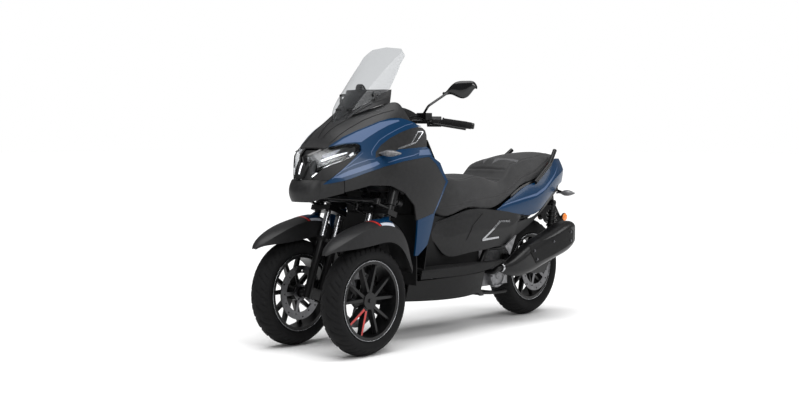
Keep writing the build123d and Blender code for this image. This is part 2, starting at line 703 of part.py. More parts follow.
save("front_cowl", cowl)

# Inner shield: panel facing the rider, with the tunnel to the seat
INNER_ROWS = [
    (376.0, -486.0, -392.0, 272.0),
    (640.0, -500.0, -446.0, 272.0),
    (800.0, -500.0, -540.0, 268.0),
    (900.0, -494.0, -484.0, 270.0),
    (1010.0, -476.0, -424.0, 262.0),
]
inner = Solid.make_loft([plan_section(z, mid, side, half, COVER) for z, mid, side, half in INNER_ROWS], True)
TUNNEL_ROWS = [(-480.0, 112.0, 604.0), (-560.0, 116.0, 596.0), (-636.0, 122.0, 590.0)]
tunnel_rows = []
for a, half, top in TUNNEL_ROWS:
    left = [(half + 8, 372), (half, top - 30), (half - 30, top)]
    tunnel_rows.append((a, left + [(-y, z) for y, z in reversed(left)]))
tunnel = skin_loft(tunnel_rows, COVER)
inner = biggest(inner - dark_side - strip - lower_blue - blue - vent)
inner = biggest(inner - flip(dark_side) - flip(strip) - flip(lower_blue) - flip(blue) - flip(vent))
inner_shield = join(inner, tunnel)
save("inner_shield", inner_shield)

# Turn signals, front and rear
SIGNAL_ROWS = [
    # share of the reach, share of the full section
    (0.0, 0.42),
    (0.24, 0.48),
    (0.4, 0.96),
    (0.78, 0.92),
    (1.0, 0.3),
]
SIGNAL_SWEEP = -0.12


def signal(a, y0, y1, z, long, high):
    wires = []
    for share, size in SIGNAL_ROWS:
        reach = (y1 - y0) * share
        plane = Plane(origin=at(a + reach * SIGNAL_SWEEP, y0 + reach, z), x_dir=(1, 0, 0), z_dir=(0, 1, 0))
        wires.append((plane * Ellipse(long * size, high * size)).wire())
    return Solid.make_loft(wires)


front_signal = signal(-112, 205, 350, 949, 20, 14) - blue - vent - inner
front_signal = max(front_signal.solids(), key=lambda s: s.center().Y)
rear_signal = signal(-1757, 122, 232, 694, 20, 15)
save("turn_signals", group(both(front_signal), both(rear_signal)))

# Foot boards and the tray below them
BOARD_TOP = 367.0
BOARD = [
    (-404, 250), (-880, 246), (-1110, 232), (-1110, 214), (-900, 196), (-700, 164), (-620, 150), (-404, 144),
]
board = plan_prism(BOARD, BOARD_TOP - 12, BOARD_TOP)
for i in range(3):
    low = -620 - i * 75
    board = board - block(low - 58, low, 196 + i * 4, 202 + i * 4, BOARD_TOP - 4, BOARD_TOP + 4)
SKIRT_ROWS = [
    (-404.0, 250.0, 322.0), (-560.0, 250.0, 318.0), (-860.0, 247.0, 318.0), (-1110.0, 232.0, 352.0),
]
skirt = skin_loft([(a, [(y - 8, z), (y, BOARD_TOP - 4)]) for a, y, z in SKIRT_ROWS], COVER)
board = board + skirt
save("foot_boards", both(biggest(board)))

TRAY_ROWS = [(-350.0, 214.0, 214.0), (-520.0, 226.0, 202.0), (-880.0, 222.0, 198.0), (-980.0, 196.0, 204.0)]
tray_rows = []
for a, half, low in TRAY_ROWS:
    outer = [(-half, 312), (-half + 26, low), (half - 26, low), (half, 312)]
    tray_rows.append((a, outer))
tray = skin_loft(tray_rows, COVER)
liner = block(-352, -345, -262, 262, 300, 640)
save("undertray", join(tray, liner))

# Side covers below the seat and the dark strips below the tail
SIDE_ROWS = [
    # ahead, half width low, low edge, half width high, high edge
    (-602.0, 136.0, 500.0, 126.0, 573.0),
    (-650.0, 148.0, 458.0, 138.0, 590.0),
    (-705.0, 162.0, 412.0, 150.0, 602.0),
    (-827.0, 186.0, 416.0, 174.0, 635.0),
    (-929.0, 200.0, 425.0, 186.0, 645.0),
    (-1060.0, 208.0, 438.0, 196.0, 632.0),
    (-1150.0, 208.0, 450.0, 199.0, 621.0),
    (-1240.0, 205.0, 512.0, 199.0, 607.0),
    (-1326.0, 200.0, 574.0, 197.0, 595.0),
]
side_cover = skin_loft(
    [(a, [(y0, z0), ((y0 + y1) / 2 + 7, (z0 + z1) / 2), (y1, z1)]) for a, y0, z0, y1, z1 in SIDE_ROWS], COVER
)
STRIP_ROWS = [
    (-1180.0, 190.0, 448.0, 196.0, 462.0),
    (-1330.0, 184.0, 505.0, 190.0, 562.0),
    (-1460.0, 176.0, 560.0, 182.0, 582.0),
    (-1600.0, 166.0, 642.0, 174.0, 674.0),
    (-1713.0, 152.0, 710.0, 160.0, 738.0),
]
tail_strip = skin_loft([(a, [(y0, z0), (y1, z1)]) for a, y0, z0, y1, z1 in STRIP_ROWS], COVER)

# Tail panels
TAIL_ROWS = [
    # ahead, low half width, low edge, crease half width, crease, high half width, high edge
    (-1092.0, 194.0, 629.0, 194.5, 633.0, 193.0, 637.0),
    (-1156.0, 197.0, 619.0, 199.0, 641.0, 194.0, 664.0),
    (-1220.0, 199.0, 608.0, 203.0, 650.0, 194.0, 691.0),
    (-1290.0, 198.0, 597.0, 205.0, 659.0, 191.0, 722.0),
    (-1360.0, 195.0, 589.0, 206.0, 669.0, 188.0, 749.0),
    (-1430.0, 191.0, 591.0, 205.0, 682.0, 186.0, 762.0),
    (-1500.0, 185.0, 612.0, 203.0, 706.0, 183.0, 782.0),
    (-1570.0, 179.0, 655.0, 198.0, 742.0, 176.0, 830.0),
    (-1640.0, 171.0, 697.0, 188.0, 778.0, 162.0, 878.0),
    (-1710.0, 155.0, 730.0, 170.0, 802.0, 140.0, 893.0),
    (-1775.0, 132.0, 750.0, 144.0, 818.0, 112.0, 891.0),
    (-1834.0, 102.0, 764.0, 112.0, 826.0, 84.0, 880.0),
]
tail_panel = skin_loft(
    [(a, [(y0, z0), (y1, z1), (y2, z2)]) for a, y0, z0, y1, z1, y2, z2 in TAIL_ROWS], COVER, 0.03
)
save("tail_panels", both(tail_panel))
side_cover = biggest(side_cover - tail_panel)
tail_strip = biggest(tail_strip - tail_panel - side_cover)
save("side_covers", group(both(side_cover), both(tail_strip)))

# Tail lamp across the end of the tail
LAMP_ROWS = [
    # ahead, half width, low edge, high edge
    (-1822.0, 84.0, 748.0, 872.0),
    (-1850.0, 78.0, 760.0, 876.0),
    (-1866.0, 60.0, 800.0, 868.0),
]
lamp_wires = []
for a, half, low, high in LAMP_ROWS:
    mid = (low + high) / 2
    lamp_wires.append(
        Wire(
            [
                Edge.make_three_point_arc(at(a, half, mid), at(a, 0, high), at(a, -half, mid)),
                Edge.make_three_point_arc(at(a, -half, mid), at(a, 0, low), at(a, half, mid)),
            ]
        )
    )
tail_lamp = Solid.make_loft(lamp_wires)
save("tail_lamp", tail_lamp)

# Seat: stepped cushion for two
SEAT_ROWS = [
    # ahead, half width at the edge, edge height, half width at the shoulder, shoulder, middle height
    (-640.0, 92.0, 628.0, 70.0, 672.0, 690.0),
    (-690.0, 132.0, 617.0, 100.0, 760.0, 790.0),
    (-760.0, 156.0, 621.0, 126.0, 800.0, 824.0),
    (-880.0, 172.0, 652.0, 148.0, 795.0, 812.0),
    (-1080.0, 182.0, 646.0, 156.0, 786.0, 797.0),
    (-1190.0, 184.0, 688.0, 152.0, 785.0, 800.0),
    (-1240.0, 182.0, 712.0, 148.0, 824.0, 850.0),
    (-1340.0, 176.0, 758.0, 148.0, 868.0, 902.0),
    (-1420.0, 174.0, 774.0, 147.0, 884.0, 916.0),
    (-1500.0, 170.0, 798.0, 144.0, 892.0, 924.0),
    (-1570.0, 161.0, 838.0, 139.0, 900.0, 928.0),
    (-1640.0, 147.0, 879.0, 130.0, 908.0, 930.0),
    (-1700.0, 127.0, 894.0, 112.0, 911.0, 928.0),
    (-1750.0, 104.0, 898.0, 92.0, 909.0, 922.0),
    (-1785.0, 78.0, 899.0, 68.0, 906.0, 914.0),
]
seat_wires = []
for a, wide, edge, shoulder, high, top in SEAT_ROWS:
    seat_wires.append(
        Wire(
            [
                Edge.make_line(at(a, -wide, edge), at(a, wide, edge)),
                Edge.make_three_point_arc(
                    at(a, wide, edge),
                    at(a, (wide + shoulder) / 2 + 9, edge + (high - edge) * 0.52),
                    at(a, shoulder, high),
                ),
                Edge.make_three_point_arc(at(a, shoulder, high), at(a, 0, top), at(a, -shoulder, high)),
                Edge.make_three_point_arc(
                    at(a, -shoulder, high),
                    at(a, -(wide + shoulder) / 2 - 9, edge + (high - edge) * 0.52),
                    at(a, -wide, edge),
                ),
            ]
        )
    )
seat = Solid.make_loft(seat_wires)
HINGE_A = -662.0
HINGE_Z = 606.0
HINGE_R = 6.0
HINGE_EYE = 12.0
HINGE_Y0 = 40.0
HINGE_Y1 = 52.0
HINGE_LUG = 40.0
for side in (-1, 1):
    low = min(side * HINGE_Y0, side * HINGE_Y1)
    high = low + HINGE_Y1 - HINGE_Y0
    eye = rod(at(HINGE_A, low, HINGE_Z), at(HINGE_A, high, HINGE_Z), HINGE_EYE)
    lug = block(HINGE_A - HINGE_EYE, HINGE_A + HINGE_EYE, low, high, HINGE_Z, HINGE_Z + HINGE_LUG)
    seat = seat + eye + lug
seat = seat - rod(at(HINGE_A, -HINGE_Y1 - 9, HINGE_Z), at(HINGE_A, HINGE_Y1 + 9, HINGE_Z), HINGE_R + FIT)
save("seat", seat)

# Under seat bin: open tub with the seat hinge on its front
TUB_TOP = 606.0
TUB_LOW = 440.0
TUB_A0 = -1130.0
TUB_A1 = -700.0
TUB_HALF = 132.0
tub = block(TUB_A0, TUB_A1, -TUB_HALF, TUB_HALF, TUB_LOW, TUB_TOP)
hollow = TUB_HALF - COVER
tub = tub - block(TUB_A0 + COVER, TUB_A1 - COVER, -hollow, hollow, TUB_LOW + COVER, TUB_TOP + COVER)
hinge_arm = block(TUB_A1, HINGE_A + 8, -24, 24, HINGE_Z - 30, HINGE_Z + 8)
hinge_pin = rod(at(HINGE_A, -HINGE_Y1 - 3, HINGE_Z), at(HINGE_A, HINGE_Y1 + 3, HINGE_Z), HINGE_R)
save("storage_bin", join(tub, hinge_arm, hinge_pin))

# Grab rails beside the rear seat, each on a foot from the frame
RAIL_FOOT = at(-1470, 170, 640)
rail = pipe([at(-1440, 193, 766), at(-1590, 184, 862), at(-1690, 150, 938)], 12, 60)
rail_foot = rod(RAIL_FOOT, at(-1470, 170, 752), 8) + rod(at(-1470, 170, 752), at(-1480, 191, 790), 7)
BASE_ROWS = [
    # ahead, half width low, low edge, half width high, high edge
    (-1230.0, 184.0, 686.0, 176.0, 700.0),
    (-1300.0, 182.0, 716.0, 174.0, 734.0),
    (-1380.0, 179.0, 742.0, 170.0, 760.0),
    (-1440.0, 178.0, 754.0, 168.0, 774.0),
    (-1500.0, 175.0, 772.0, 165.0, 792.0),
    (-1570.0, 168.0, 816.0, 157.0, 832.0),
    (-1630.0, 156.0, 858.0, 147.0, 867.0),
]
rail_base = skin_loft([(a, [(y0, z0), (y1, z1)]) for a, y0, z0, y1, z1 in BASE_ROWS], COVER)
rail = biggest(join(rail, rail_foot, rail_base) - tail_panel)
save("grab_rails", both(rail))

# Engine as one plain block, with the drive case on the right and the swing arm on the left
MOUNT_A = -1010.0
MOUNT_Z = 340.0
ENGINE_LEFT = 105.7
ENGINE_RIGHT = -113.7
engine = join(
    block(-1300, -1045, ENGINE_RIGHT, ENGINE_LEFT, 214, 424),
    rod(at(-1180, ENGINE_LEFT, 268), at(-1180, 128, 268), 66),
    block(-1050, MOUNT_A, -80, -60, MOUNT_Z - 20, MOUNT_Z + 20),
    block(-1050, MOUNT_A, 60, 80, MOUNT_Z - 20, MOUNT_Z + 20),
)
engine = engine - rod(at(MOUNT_A, -140, MOUNT_Z), at(MOUNT_A, 140, MOUNT_Z), 14 + FIT)
save("engine", engine)
CASE = [
    (-1120, 250), (-1120, 390), (-1200, 420), (-1560, 350), (-1600, 292),
    (-1650, 270), (-1650, 236), (-1600, 214), (-1200, 224),
]
case = side_prism(CASE, -186, -114)
SWING = [(-1252, 290), (-1252, 380), (-1660, 330), (-1668, 290), (-1630, 246), (-1560, 246)]
arm_left = side_prism(SWING, 106, 128)
rear_axle = rod(at(A_REAR, -114, REAR_TYRE_R), at(A_REAR, 106, REAR_TYRE_R), AXLE_R)
spacer = rod(at(A_REAR, -114, REAR_TYRE_R), at(A_REAR, -68, REAR_TYRE_R), 20)
eye_pin = rod(at(-1645, 106, 318), at(-1645, 160, 318), 8)
case_lug = block(-1660, -1606, -128, -114, 262, 334)
case_pin = rod(at(-1645, -160, 318), at(-1645, -118, 318), 8)
save("swing_unit", join(case, rear_axle, spacer, arm_left, eye_pin, case_lug, case_pin))

# Exhaust: pipe and muffler on the left
MUFFLER_ROWS = [
    # ahead, middle height, half height, inner side, outer side
    (-1090.0, 322.0, 18.0, 196.0, 232.0),
    (-1180.0, 318.0, 46.0, 182.0, 258.0),
    (-1320.0, 356.0, 76.0, 168.0, 272.0),
    (-1500.0, 410.0, 80.0, 168.0, 276.0),
    (-1680.0, 458.0, 82.0, 168.0, 272.0),
    (-1740.0, 470.0, 62.0, 176.0, 260.0),
]
muffler_wires = []
for a, z, half, y0, y1 in MUFFLER_ROWS:
    plane = Plane(origin=at(a, (y0 + y1) / 2, z), x_dir=(0, 1, 0), z_dir=(-1, 0, 0))
    corner = min(half, (y1 - y0) / 2) * 0.72
    muffler_wires.append((plane * RectangleRounded(y1 - y0, half * 2, corner)).wire())
muffler = Solid.make_loft(muffler_wires)
hanger = block(-1500, -1440, 128 + SEAT_GAP, 190, 312, 338)
PORT_A = -1075.0
PORT_Z = 300.0
PIPE_R = 15.0
down_path = [
    at(PORT_A, ENGINE_LEFT + SEAT_GAP, PORT_Z),
    at(PORT_A, 180, PORT_Z),
    at(PORT_A, 214, 322),
    at(-1120, 214, 322),
]
down_pipe = pipe(down_path, PIPE_R, PIPE_R - 1)
save("exhaust", join(muffler, hanger, down_pipe))

# Rear shocks, spring and damper in one
SHOCK_TOP = at(-1690, 140, 640)
SHOCK_LOW = at(-1645, 140, 318)
SHOCK_EYE = 16.0
way = (SHOCK_LOW - SHOCK_TOP).normalized()
shock = join(
    rod(SHOCK_TOP + way * 40, SHOCK_TOP + way * 230, 22),
    rod(SHOCK_TOP, SHOCK_LOW, 9),
    rod(SHOCK_TOP - Vector(0, 12, 0), SHOCK_TOP + Vector(0, 12, 0), SHOCK_EYE),
    rod(SHOCK_LOW - Vector(0, 11, 0), SHOCK_LOW + Vector(0, 11, 0), SHOCK_EYE),
)
for spot in (SHOCK_TOP, SHOCK_LOW):
    shock = shock - rod(spot - Vector(0, 40, 0), spot + Vector(0, 40, 0), 8 + FIT)
save("rear_shocks", both(shock))

# Rear fender with plate bracket
PLATE_TOP = (-1815.0, 640.0)
PLATE_LOW = (-1905.0, 520.0)
PLATE_WALL = 15.0
PLATE_HALF = 62.0
PLATE_HOLE_R = 3.25
PLATE_HOLE_Y = 45.0
plate_run = at(PLATE_LOW[0], 0, PLATE_LOW[1]) - at(PLATE_TOP[0], 0, PLATE_TOP[1])
plate_out = Vector(plate_run.Z, 0, -plate_run.X).normalized()
PLATE_ARM = [
    (-1760, 735), (-1800, 735), PLATE_TOP, PLATE_LOW, (A_TAIL_END, 482), (A_TAIL_END + 4, 470),
    (PLATE_LOW[0] - plate_out.X * PLATE_WALL, PLATE_LOW[1] - plate_out.Z * PLATE_WALL),
    (PLATE_TOP[0] - plate_out.X * PLATE_WALL, PLATE_TOP[1] - plate_out.Z * PLATE_WALL),
    (-1787, 722), (-1760, 722),
]
lamp_foot = block(-1840, -1790, -20, 20, 726, 800) - tail_lamp
lamp_foot = min(lamp_foot.solids(), key=lambda s: s.center().Z)
rear_fender = side_prism(PLATE_ARM, -PLATE_HALF, PLATE_HALF) + lamp_foot
plate_mid = at(PLATE_TOP[0], 0, PLATE_TOP[1]) + plate_run * 0.5
for y in (-PLATE_HOLE_Y, PLATE_HOLE_Y):
    spot = plate_mid + Vector(0, y, 0)
    drill = rod(spot - plate_out * (PLATE_WALL * 2), spot + plate_out * PLATE_WALL, PLATE_HOLE_R)
    rear_fender = rear_fender - drill
save("rear_fender", rear_fender)

# Pillion footrests
rest = side_prism([(-1218, 490), (-1118, 436), (-1161, 388)], 217, 227)
save("footrests", both(rest))

# Centre stand, folded
STAND_A = -1030.0
STAND_Z = 186.0
STAND_R = 8.0
leg = pipe([at(STAND_A, 112, STAND_Z), at(-1140, 124, 178), at(-1226, 150, 182)], 11, 30)
stand = join(leg, flip(leg), rod(at(STAND_A, -124, STAND_Z), at(STAND_A, 124, STAND_Z), 14))
stand = join(stand, rod(at(-1140, -124, 178), at(-1140, 124, 178), 9))
stand = stand - rod(at(STAND_A, -200, STAND_Z), at(STAND_A, 200, STAND_Z), STAND_R + FIT)
save("centre_stand", stand)

# Frame: head tube, lean pivots, two rails and the stays that carry the body
RAIL_R = 16.0
pivot_block = steer_block(-88, ARM_U0 - SEAT_GAP, -30, 30, 4, HOUSING_W)
pins = [rod(steer(-80, 0, w), steer(ARM_U1 + 3, 0, w), ARM_PIN_R) for w in (ARM_LOW_W, ARM_HIGH_W)]
head_tube = rod(steer(COLUMN_U, 0, 0), steer(COLUMN_U, 0, 300), 28)
rail_path = [
    at(-345, 24, 770), at(-392, 110, 600), at(-392, 130, 286), at(-960, 150, 280),
    at(-1120, 156, 540), at(-1400, 156, 580), at(-1780, 96, 716),
]
left_rail = pipe(rail_path, RAIL_R, 60)
STAND_PLATE = [
    (STAND_A - 14, STAND_Z - 14), (STAND_A + 14, STAND_Z - 14), (-930, 262), (-930, 284), (-965, 284),
]


# Stay from a point inside the body out to a panel
def stay(p, q, r, panel):
    cut = rod(p, q, r) - panel
    return min(cut.solids(), key=lambda s: (s.center() - p).length)


left_stays = [
    stay(at(-330, 20, 830), at(-330, 320, 830), 8, dark_side),
    rod(at(-800, 140, 282), at(-800, 192, 282), 6),
    rod(at(-800, 192, 274), at(-800, 192, BOARD_TOP - 12), 8),
    rod(at(-560, 130, 284), at(-560, 200, 284), 6),
    rod(at(-560, 200, 270), at(-560, 200, BOARD_TOP - 12), 9),
    stay(at(-900, 150, 282), at(-900, 150, 150), 10, tray),
    stay(at(-1095, TUB_HALF, 500), at(-1095, 250, 500), 8, side_cover),
    stay(at(-1360, 156, 574), at(-1360, 230, 500), 7, tail_strip),
    stay(at(-1300, 156, 566), at(-1300, 260, 700), 8, tail_panel),
    rod(at(-1470, 145, 604), at(-1470, 170, 604), 6),
    rod(at(-1470, 170, 594), RAIL_FOOT, 9),
    rod(at(-760, 110, 272), at(-760, 110, TUB_LOW), 10),
    rod(at(-760, 110, 282), at(-760, 144, 282), 6),
    stay(at(-1046, 153, 420), at(-1175, 235, 432), 9, rest),
    side_prism(STAND_PLATE, 128, 142),
    stay(at(-1772, 90, 714), at(-1757, 170, 694), 7, rear_signal),
    block(-1702, -1676, 104, 140 - 12 - SEAT_GAP, 626, 690),
    rod(at(-1690, 110, 640), at(-1690, 156, 640), STAND_R),
]
frame = join(head_tube, pivot_block, *pins, left_rail, flip(left_rail))
for piece in left_stays:
    frame = frame + piece + flip(piece)
frame = join(
    frame,
    rod(at(MOUNT_A, -150, MOUNT_Z), at(MOUNT_A, 150, MOUNT_Z), 14),
    rod(at(STAND_A, -130, STAND_Z), at(STAND_A, 130, STAND_Z), STAND_R),
    rod(at(-1776, -100, 716), at(-1776, 100, 716), 14),
    stay(at(-360, 0, 870), at(-560, 0, 870), 10, inner_shield),
)
frame = frame - rod(steer(COLUMN_U, 0, -60), steer(COLUMN_U, 0, 400), 13 + FIT)
frame = biggest(frame - rear_fender)
save("frame", frame)
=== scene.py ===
import bmesh
import bpy
import math
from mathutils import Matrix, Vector
from mathutils.bvhtree import BVHTree


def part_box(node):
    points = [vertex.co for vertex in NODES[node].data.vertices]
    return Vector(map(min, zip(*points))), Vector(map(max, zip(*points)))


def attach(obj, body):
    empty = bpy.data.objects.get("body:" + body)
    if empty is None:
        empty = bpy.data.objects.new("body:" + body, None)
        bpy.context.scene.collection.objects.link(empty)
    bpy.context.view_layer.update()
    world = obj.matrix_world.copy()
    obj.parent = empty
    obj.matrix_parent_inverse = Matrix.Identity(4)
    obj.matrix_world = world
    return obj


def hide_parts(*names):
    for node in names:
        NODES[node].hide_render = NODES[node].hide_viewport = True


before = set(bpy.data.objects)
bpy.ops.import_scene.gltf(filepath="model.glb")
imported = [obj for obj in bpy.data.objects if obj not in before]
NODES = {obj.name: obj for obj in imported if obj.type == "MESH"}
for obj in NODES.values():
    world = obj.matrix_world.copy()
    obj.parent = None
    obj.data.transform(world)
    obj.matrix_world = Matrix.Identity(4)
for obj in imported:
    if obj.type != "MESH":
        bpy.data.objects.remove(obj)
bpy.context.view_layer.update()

# Places are in millimetres: ahead of the front axle, to the left, and up
MM = 0.001
AXLE_LOW, AXLE_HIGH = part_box("front_left_tyre")
AXLE_X = (AXLE_LOW.x + AXLE_HIGH.x) / 2
TRACK_Y = (AXLE_LOW.y + AXLE_HIGH.y) / 2
LIFT = 0.6 * MM
SIDES = (("left", 1), ("right", -1))


def at(a, y, z):
    return Vector((AXLE_X + a * MM, y * MM, z * MM))


def flip(point, side):
    return Vector((point.x, point.y * side, point.z))


# Colours are written as the eye sees them, 0 to 255
def colour(r, g, b):
    values = []
    for c in (r / 255, g / 255, b / 255):
        values.append(c / 12.92 if c <= 0.04045 else ((c + 0.055) / 1.055) ** 2.4)
    return (*values, 1.0)


# Materials
def surface(name, rgb, rough, metal=0.0, coat=0.0, specular=0.3):
    made = bpy.data.materials.new(name)
    made.use_nodes = True
    shader = made.node_tree.nodes["Principled BSDF"]
    shader.inputs["Base Color"].default_value = colour(*rgb)
    shader.inputs["Roughness"].default_value = rough
    shader.inputs["Metallic"].default_value = metal
    shader.inputs["Coat Weight"].default_value = coat
    shader.inputs["Coat Roughness"].default_value = 0.06
    shader.inputs["Specular IOR Level"].default_value = specular
    return made


def node(made, kind, **settings):
    one = made.node_tree.nodes.new(kind)
    for key, value in settings.items():
        if key in one.inputs:
            one.inputs[key].default_value = value
        else:
            setattr(one, key, value)
    return one


def link(made, out, into):
    made.node_tree.links.new(out, into)


def place(made):
    return node(made, "ShaderNodeTexCoord").outputs["Object"]


# Colour and roughness that drift over the surface, from one noise
def drift(made, rgb_low, rgb_high, rough_low, rough_high, scale, detail=4.0):
    shader = made.node_tree.nodes["Principled BSDF"]
    noise = node(made, "ShaderNodeTexNoise", Scale=scale, Detail=detail)
    link(made, place(made), noise.inputs["Vector"])
    ramp = node(made, "ShaderNodeValToRGB")
    ramp.color_ramp.elements[0].position = 0.32
    ramp.color_ramp.elements[1].position = 0.68
    ramp.color_ramp.elements[0].color = colour(*rgb_low)
    ramp.color_ramp.elements[1].color = colour(*rgb_high)
    link(made, noise.outputs["Fac"], ramp.inputs["Fac"])
    link(made, ramp.outputs["Color"], shader.inputs["Base Color"])
    span = node(made, "ShaderNodeMapRange")
    span.inputs["To Min"].default_value = rough_low
    span.inputs["To Max"].default_value = rough_high
    link(made, noise.outputs["Fac"], span.inputs["Value"])
    link(made, span.outputs["Result"], shader.inputs["Roughness"])
    return made


# Fine relief from a noise or a cell pattern
def relief(made, scale, depth, kind="ShaderNodeTexNoise", strength=0.5, **settings):
    shader = made.node_tree.nodes["Principled BSDF"]
    pattern = node(made, kind, Scale=scale, **settings)
    link(made, place(made), pattern.inputs["Vector"])
    bump = node(made, "ShaderNodeBump", Strength=strength, Distance=depth)
    out = pattern.outputs["Fac"] if "Fac" in pattern.outputs else pattern.outputs["Distance"]
    link(made, out, bump.inputs["Height"])
    before = shader.inputs["Normal"].links
    if before:
        link(made, before[0].from_socket, bump.inputs["Normal"])
    link(made, bump.outputs["Normal"], shader.inputs["Normal"])
    return made


def glowing(name, rgb, strength):
    made = surface(name, rgb, 0.3)
    shader = made.node_tree.nodes["Principled BSDF"]
    shader.inputs["Emission Color"].default_value = colour(*rgb)
    shader.inputs["Emission Strength"].default_value = strength
    return made


def clear(name, rgb, rough, amount):
    made = surface(name, rgb, rough)
    shader = made.node_tree.nodes["Principled BSDF"]
    shader.inputs["Transmission Weight"].default_value = amount
    shader.inputs["IOR"].default_value = 1.2
    return made


BLUE = drift(
    surface("blue_paint", (0, 42, 74), 0.34, 0.0, 0.1, 0.2),
    (0, 39, 69), (1, 46, 80), 0.3, 0.38, 900,
)
# Pale blue for the painted highlights and the pale lines on the blue panels
PALE_HIGHLIGHT_AND_LINE = drift(
    surface("pale_blue_highlight_and_line", (78, 96, 126), 0.34, 0.0, 0.1, 0.2),
    (72, 90, 120), (84, 102, 133), 0.3, 0.38, 900,
)
COWL = drift(
    surface("cowl_plastic", (36, 36, 37), 0.42),
    (33, 33, 34), (40, 40, 41), 0.38, 0.48, 60,
)
relief(COWL, 2600, 0.00012, strength=0.35)
DARK = drift(surface("dark_plastic", (25, 25, 26), 0.45), (22, 22, 23), (29, 29, 30), 0.4, 0.52, 60)
relief(DARK, 2600, 0.00012, strength=0.35)
BLACK = drift(
    surface("black_plastic", (8, 8, 9), 0.6, specular=0.2),
    (6, 6, 7), (11, 11, 12), 0.52, 0.68, 45,
)
relief(BLACK, 1500, 0.0002, "ShaderNodeTexVoronoi", 0.4)
GLOSS = drift(
    surface("gloss_black", (9, 9, 10), 0.16, 0.0, 0.3),
    (7, 7, 8), (12, 12, 13), 0.12, 0.2, 30,
)
RUBBER = drift(
    surface("tyre_rubber", (13, 13, 14), 0.8, specular=0.2),
    (10, 10, 11), (17, 17, 18), 0.72, 0.88, 25,
)
relief(RUBBER, 1800, 0.0002, strength=0.5)
METAL = drift(
    surface("black_metal", (15, 15, 16), 0.35, 0.2, 0.1),
    (12, 12, 13), (20, 20, 21), 0.3, 0.45, 35,
)
relief(METAL, 1200, 0.00008, strength=0.3)
ALLOY = drift(
    surface("cast_alloy", (128, 128, 130), 0.45, 1.0),
    (110, 110, 112), (144, 144, 146), 0.36, 0.55, 40,
)
relief(ALLOY, 900, 0.00025, strength=0.5)
SILVER = drift(
    surface("silver_trim", (170, 171, 174), 0.25, 1.0),
    (160, 161, 164), (182, 183, 186), 0.2, 0.32, 80,
)
BOLT = drift(
    surface("bolt_steel", (96, 96, 100), 0.3, 1.0),
    (82, 82, 86), (112, 112, 116), 0.24, 0.4, 200,
)
SCREEN = clear("screen_clear", (206, 208, 210), 0.03, 1.0)
LENS = clear("lens_clear", (244, 246, 248), 0.02, 1.0)
LAMP = glowing("lamp_white", (240, 240, 244), 0.7)
RED_LENS = drift(
    surface("red_lens", (104, 6, 8), 0.12, 0.0, 0.6),
    (88, 5, 6), (122, 9, 11), 0.08, 0.18, 70,
)
relief(RED_LENS, 260, 0.0006, "ShaderNodeTexVoronoi", 0.5)
SMOKE = drift(
    surface("smoked_lens", (96, 96, 98), 0.12, 0.0, 0.6),
    (80, 80, 82), (114, 114, 116), 0.08, 0.18, 90,
)
relief(SMOKE, 300, 0.0006, "ShaderNodeTexVoronoi", 0.5)
AMBER = drift(
    surface("amber_lens", (236, 130, 40), 0.15, 0.0, 0.6),
    (226, 118, 30), (244, 144, 56), 0.1, 0.2, 90,
)
relief(AMBER, 420, 0.0008, "ShaderNodeTexVoronoi", 0.6)
WHITE = drift(
    surface("white_paint", (190, 194, 204), 0.3, 0.0, 0.4),
    (182, 186, 196), (198, 202, 211), 0.26, 0.34, 120,
)
RED = drift(
    surface("red_paint", (168, 34, 30), 0.3, 0.0, 0.4),
    (156, 28, 26), (182, 42, 36), 0.26, 0.34, 120,
)
COVER = drift(surface("seat_cover", (36, 36, 37), 0.62), (31, 31, 32), (42, 42, 43), 0.55, 0.7, 18)
relief(COVER, 620, 0.0004, "ShaderNodeTexVoronoi", 0.55)
COVER.node_tree.nodes["Principled BSDF"].inputs["Sheen Weight"].default_value = 0.12
# Lighter grey of the crescent at the seat's step
CRESCENT_GREY = drift(
    surface("seat_crescent_grey", (84, 84, 86), 0.55),
    (76, 76, 78), (93, 93, 95), 0.48, 0.6, 90,
)
GRIP = drift(surface("grip_rubber", (13, 13, 14), 0.85), (10, 10, 11), (17, 17, 18), 0.78, 0.9, 60)
MIRROR = drift(
    surface("mirror_glass", (205, 208, 212), 0.03, 1.0),
    (202, 205, 209), (208, 211, 215), 0.02, 0.05, 10,
)
STEEL = drift(
    surface("disc_steel", (104, 104, 106), 0.34, 1.0),
    (94, 94, 96), (114, 114, 116), 0.28, 0.4, 60,
)
relief(STEEL, 2200, 0.00008, strength=0.25)

# Finish of each CAD node
FINISH = {
    BLUE: ["front_side_panels", "leg_shield_edges", "tail_panels"],
    COWL: ["front_cowl"],
    DARK: ["nose", "leg_shield_sides", "side_covers", "front_left_fender", "front_right_fender"],
    BLACK: [
        "inner_shield", "foot_boards", "undertray", "storage_bin", "rear_fender", "handlebar_cover",
    ],
    METAL: [
        "frame", "lean_linkage", "grab_rails", "swing_unit", "exhaust", "rear_shocks", "handlebar",
        "tie_rod", "centre_stand", "front_left_fork", "front_right_fork", "front_left_caliper",
        "front_right_caliper", "front_left_rim", "front_right_rim", "rear_rim",
    ],
    GLOSS: ["headlamp_housings", "mirrors"],
    ALLOY: ["engine", "footrests"],
    STEEL: ["front_left_disc", "front_right_disc", "rear_disc"],
    SCREEN: ["windscreen"],
    LENS: ["headlamp_lenses"],
    RED_LENS: ["tail_lamp"],
    SMOKE: ["turn_signals"],
    GRIP: ["grips"],
    RUBBER: ["front_left_tyre", "front_right_tyre", "rear_tyre"],
    COVER: ["seat"],
}
for finish, names in FINISH.items():
    for name in names:
        NODES[name].data.materials.clear()
        NODES[name].data.materials.append(finish)


# Mesh pieces
def piece(name, mesh, finish, body, smooth=True):
    made = bpy.data.objects.new(name, mesh)
    bpy.context.scene.collection.objects.link(made)
    mesh.materials.append(finish)
    for polygon in mesh.polygons:
        polygon.use_smooth = smooth
    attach(made, body)
    return made


def mesh_of(name, points, faces):
    made = bpy.data.meshes.new(name)
    made.from_pydata([tuple(p) for p in points], [], faces)
    made.validate()
    return made


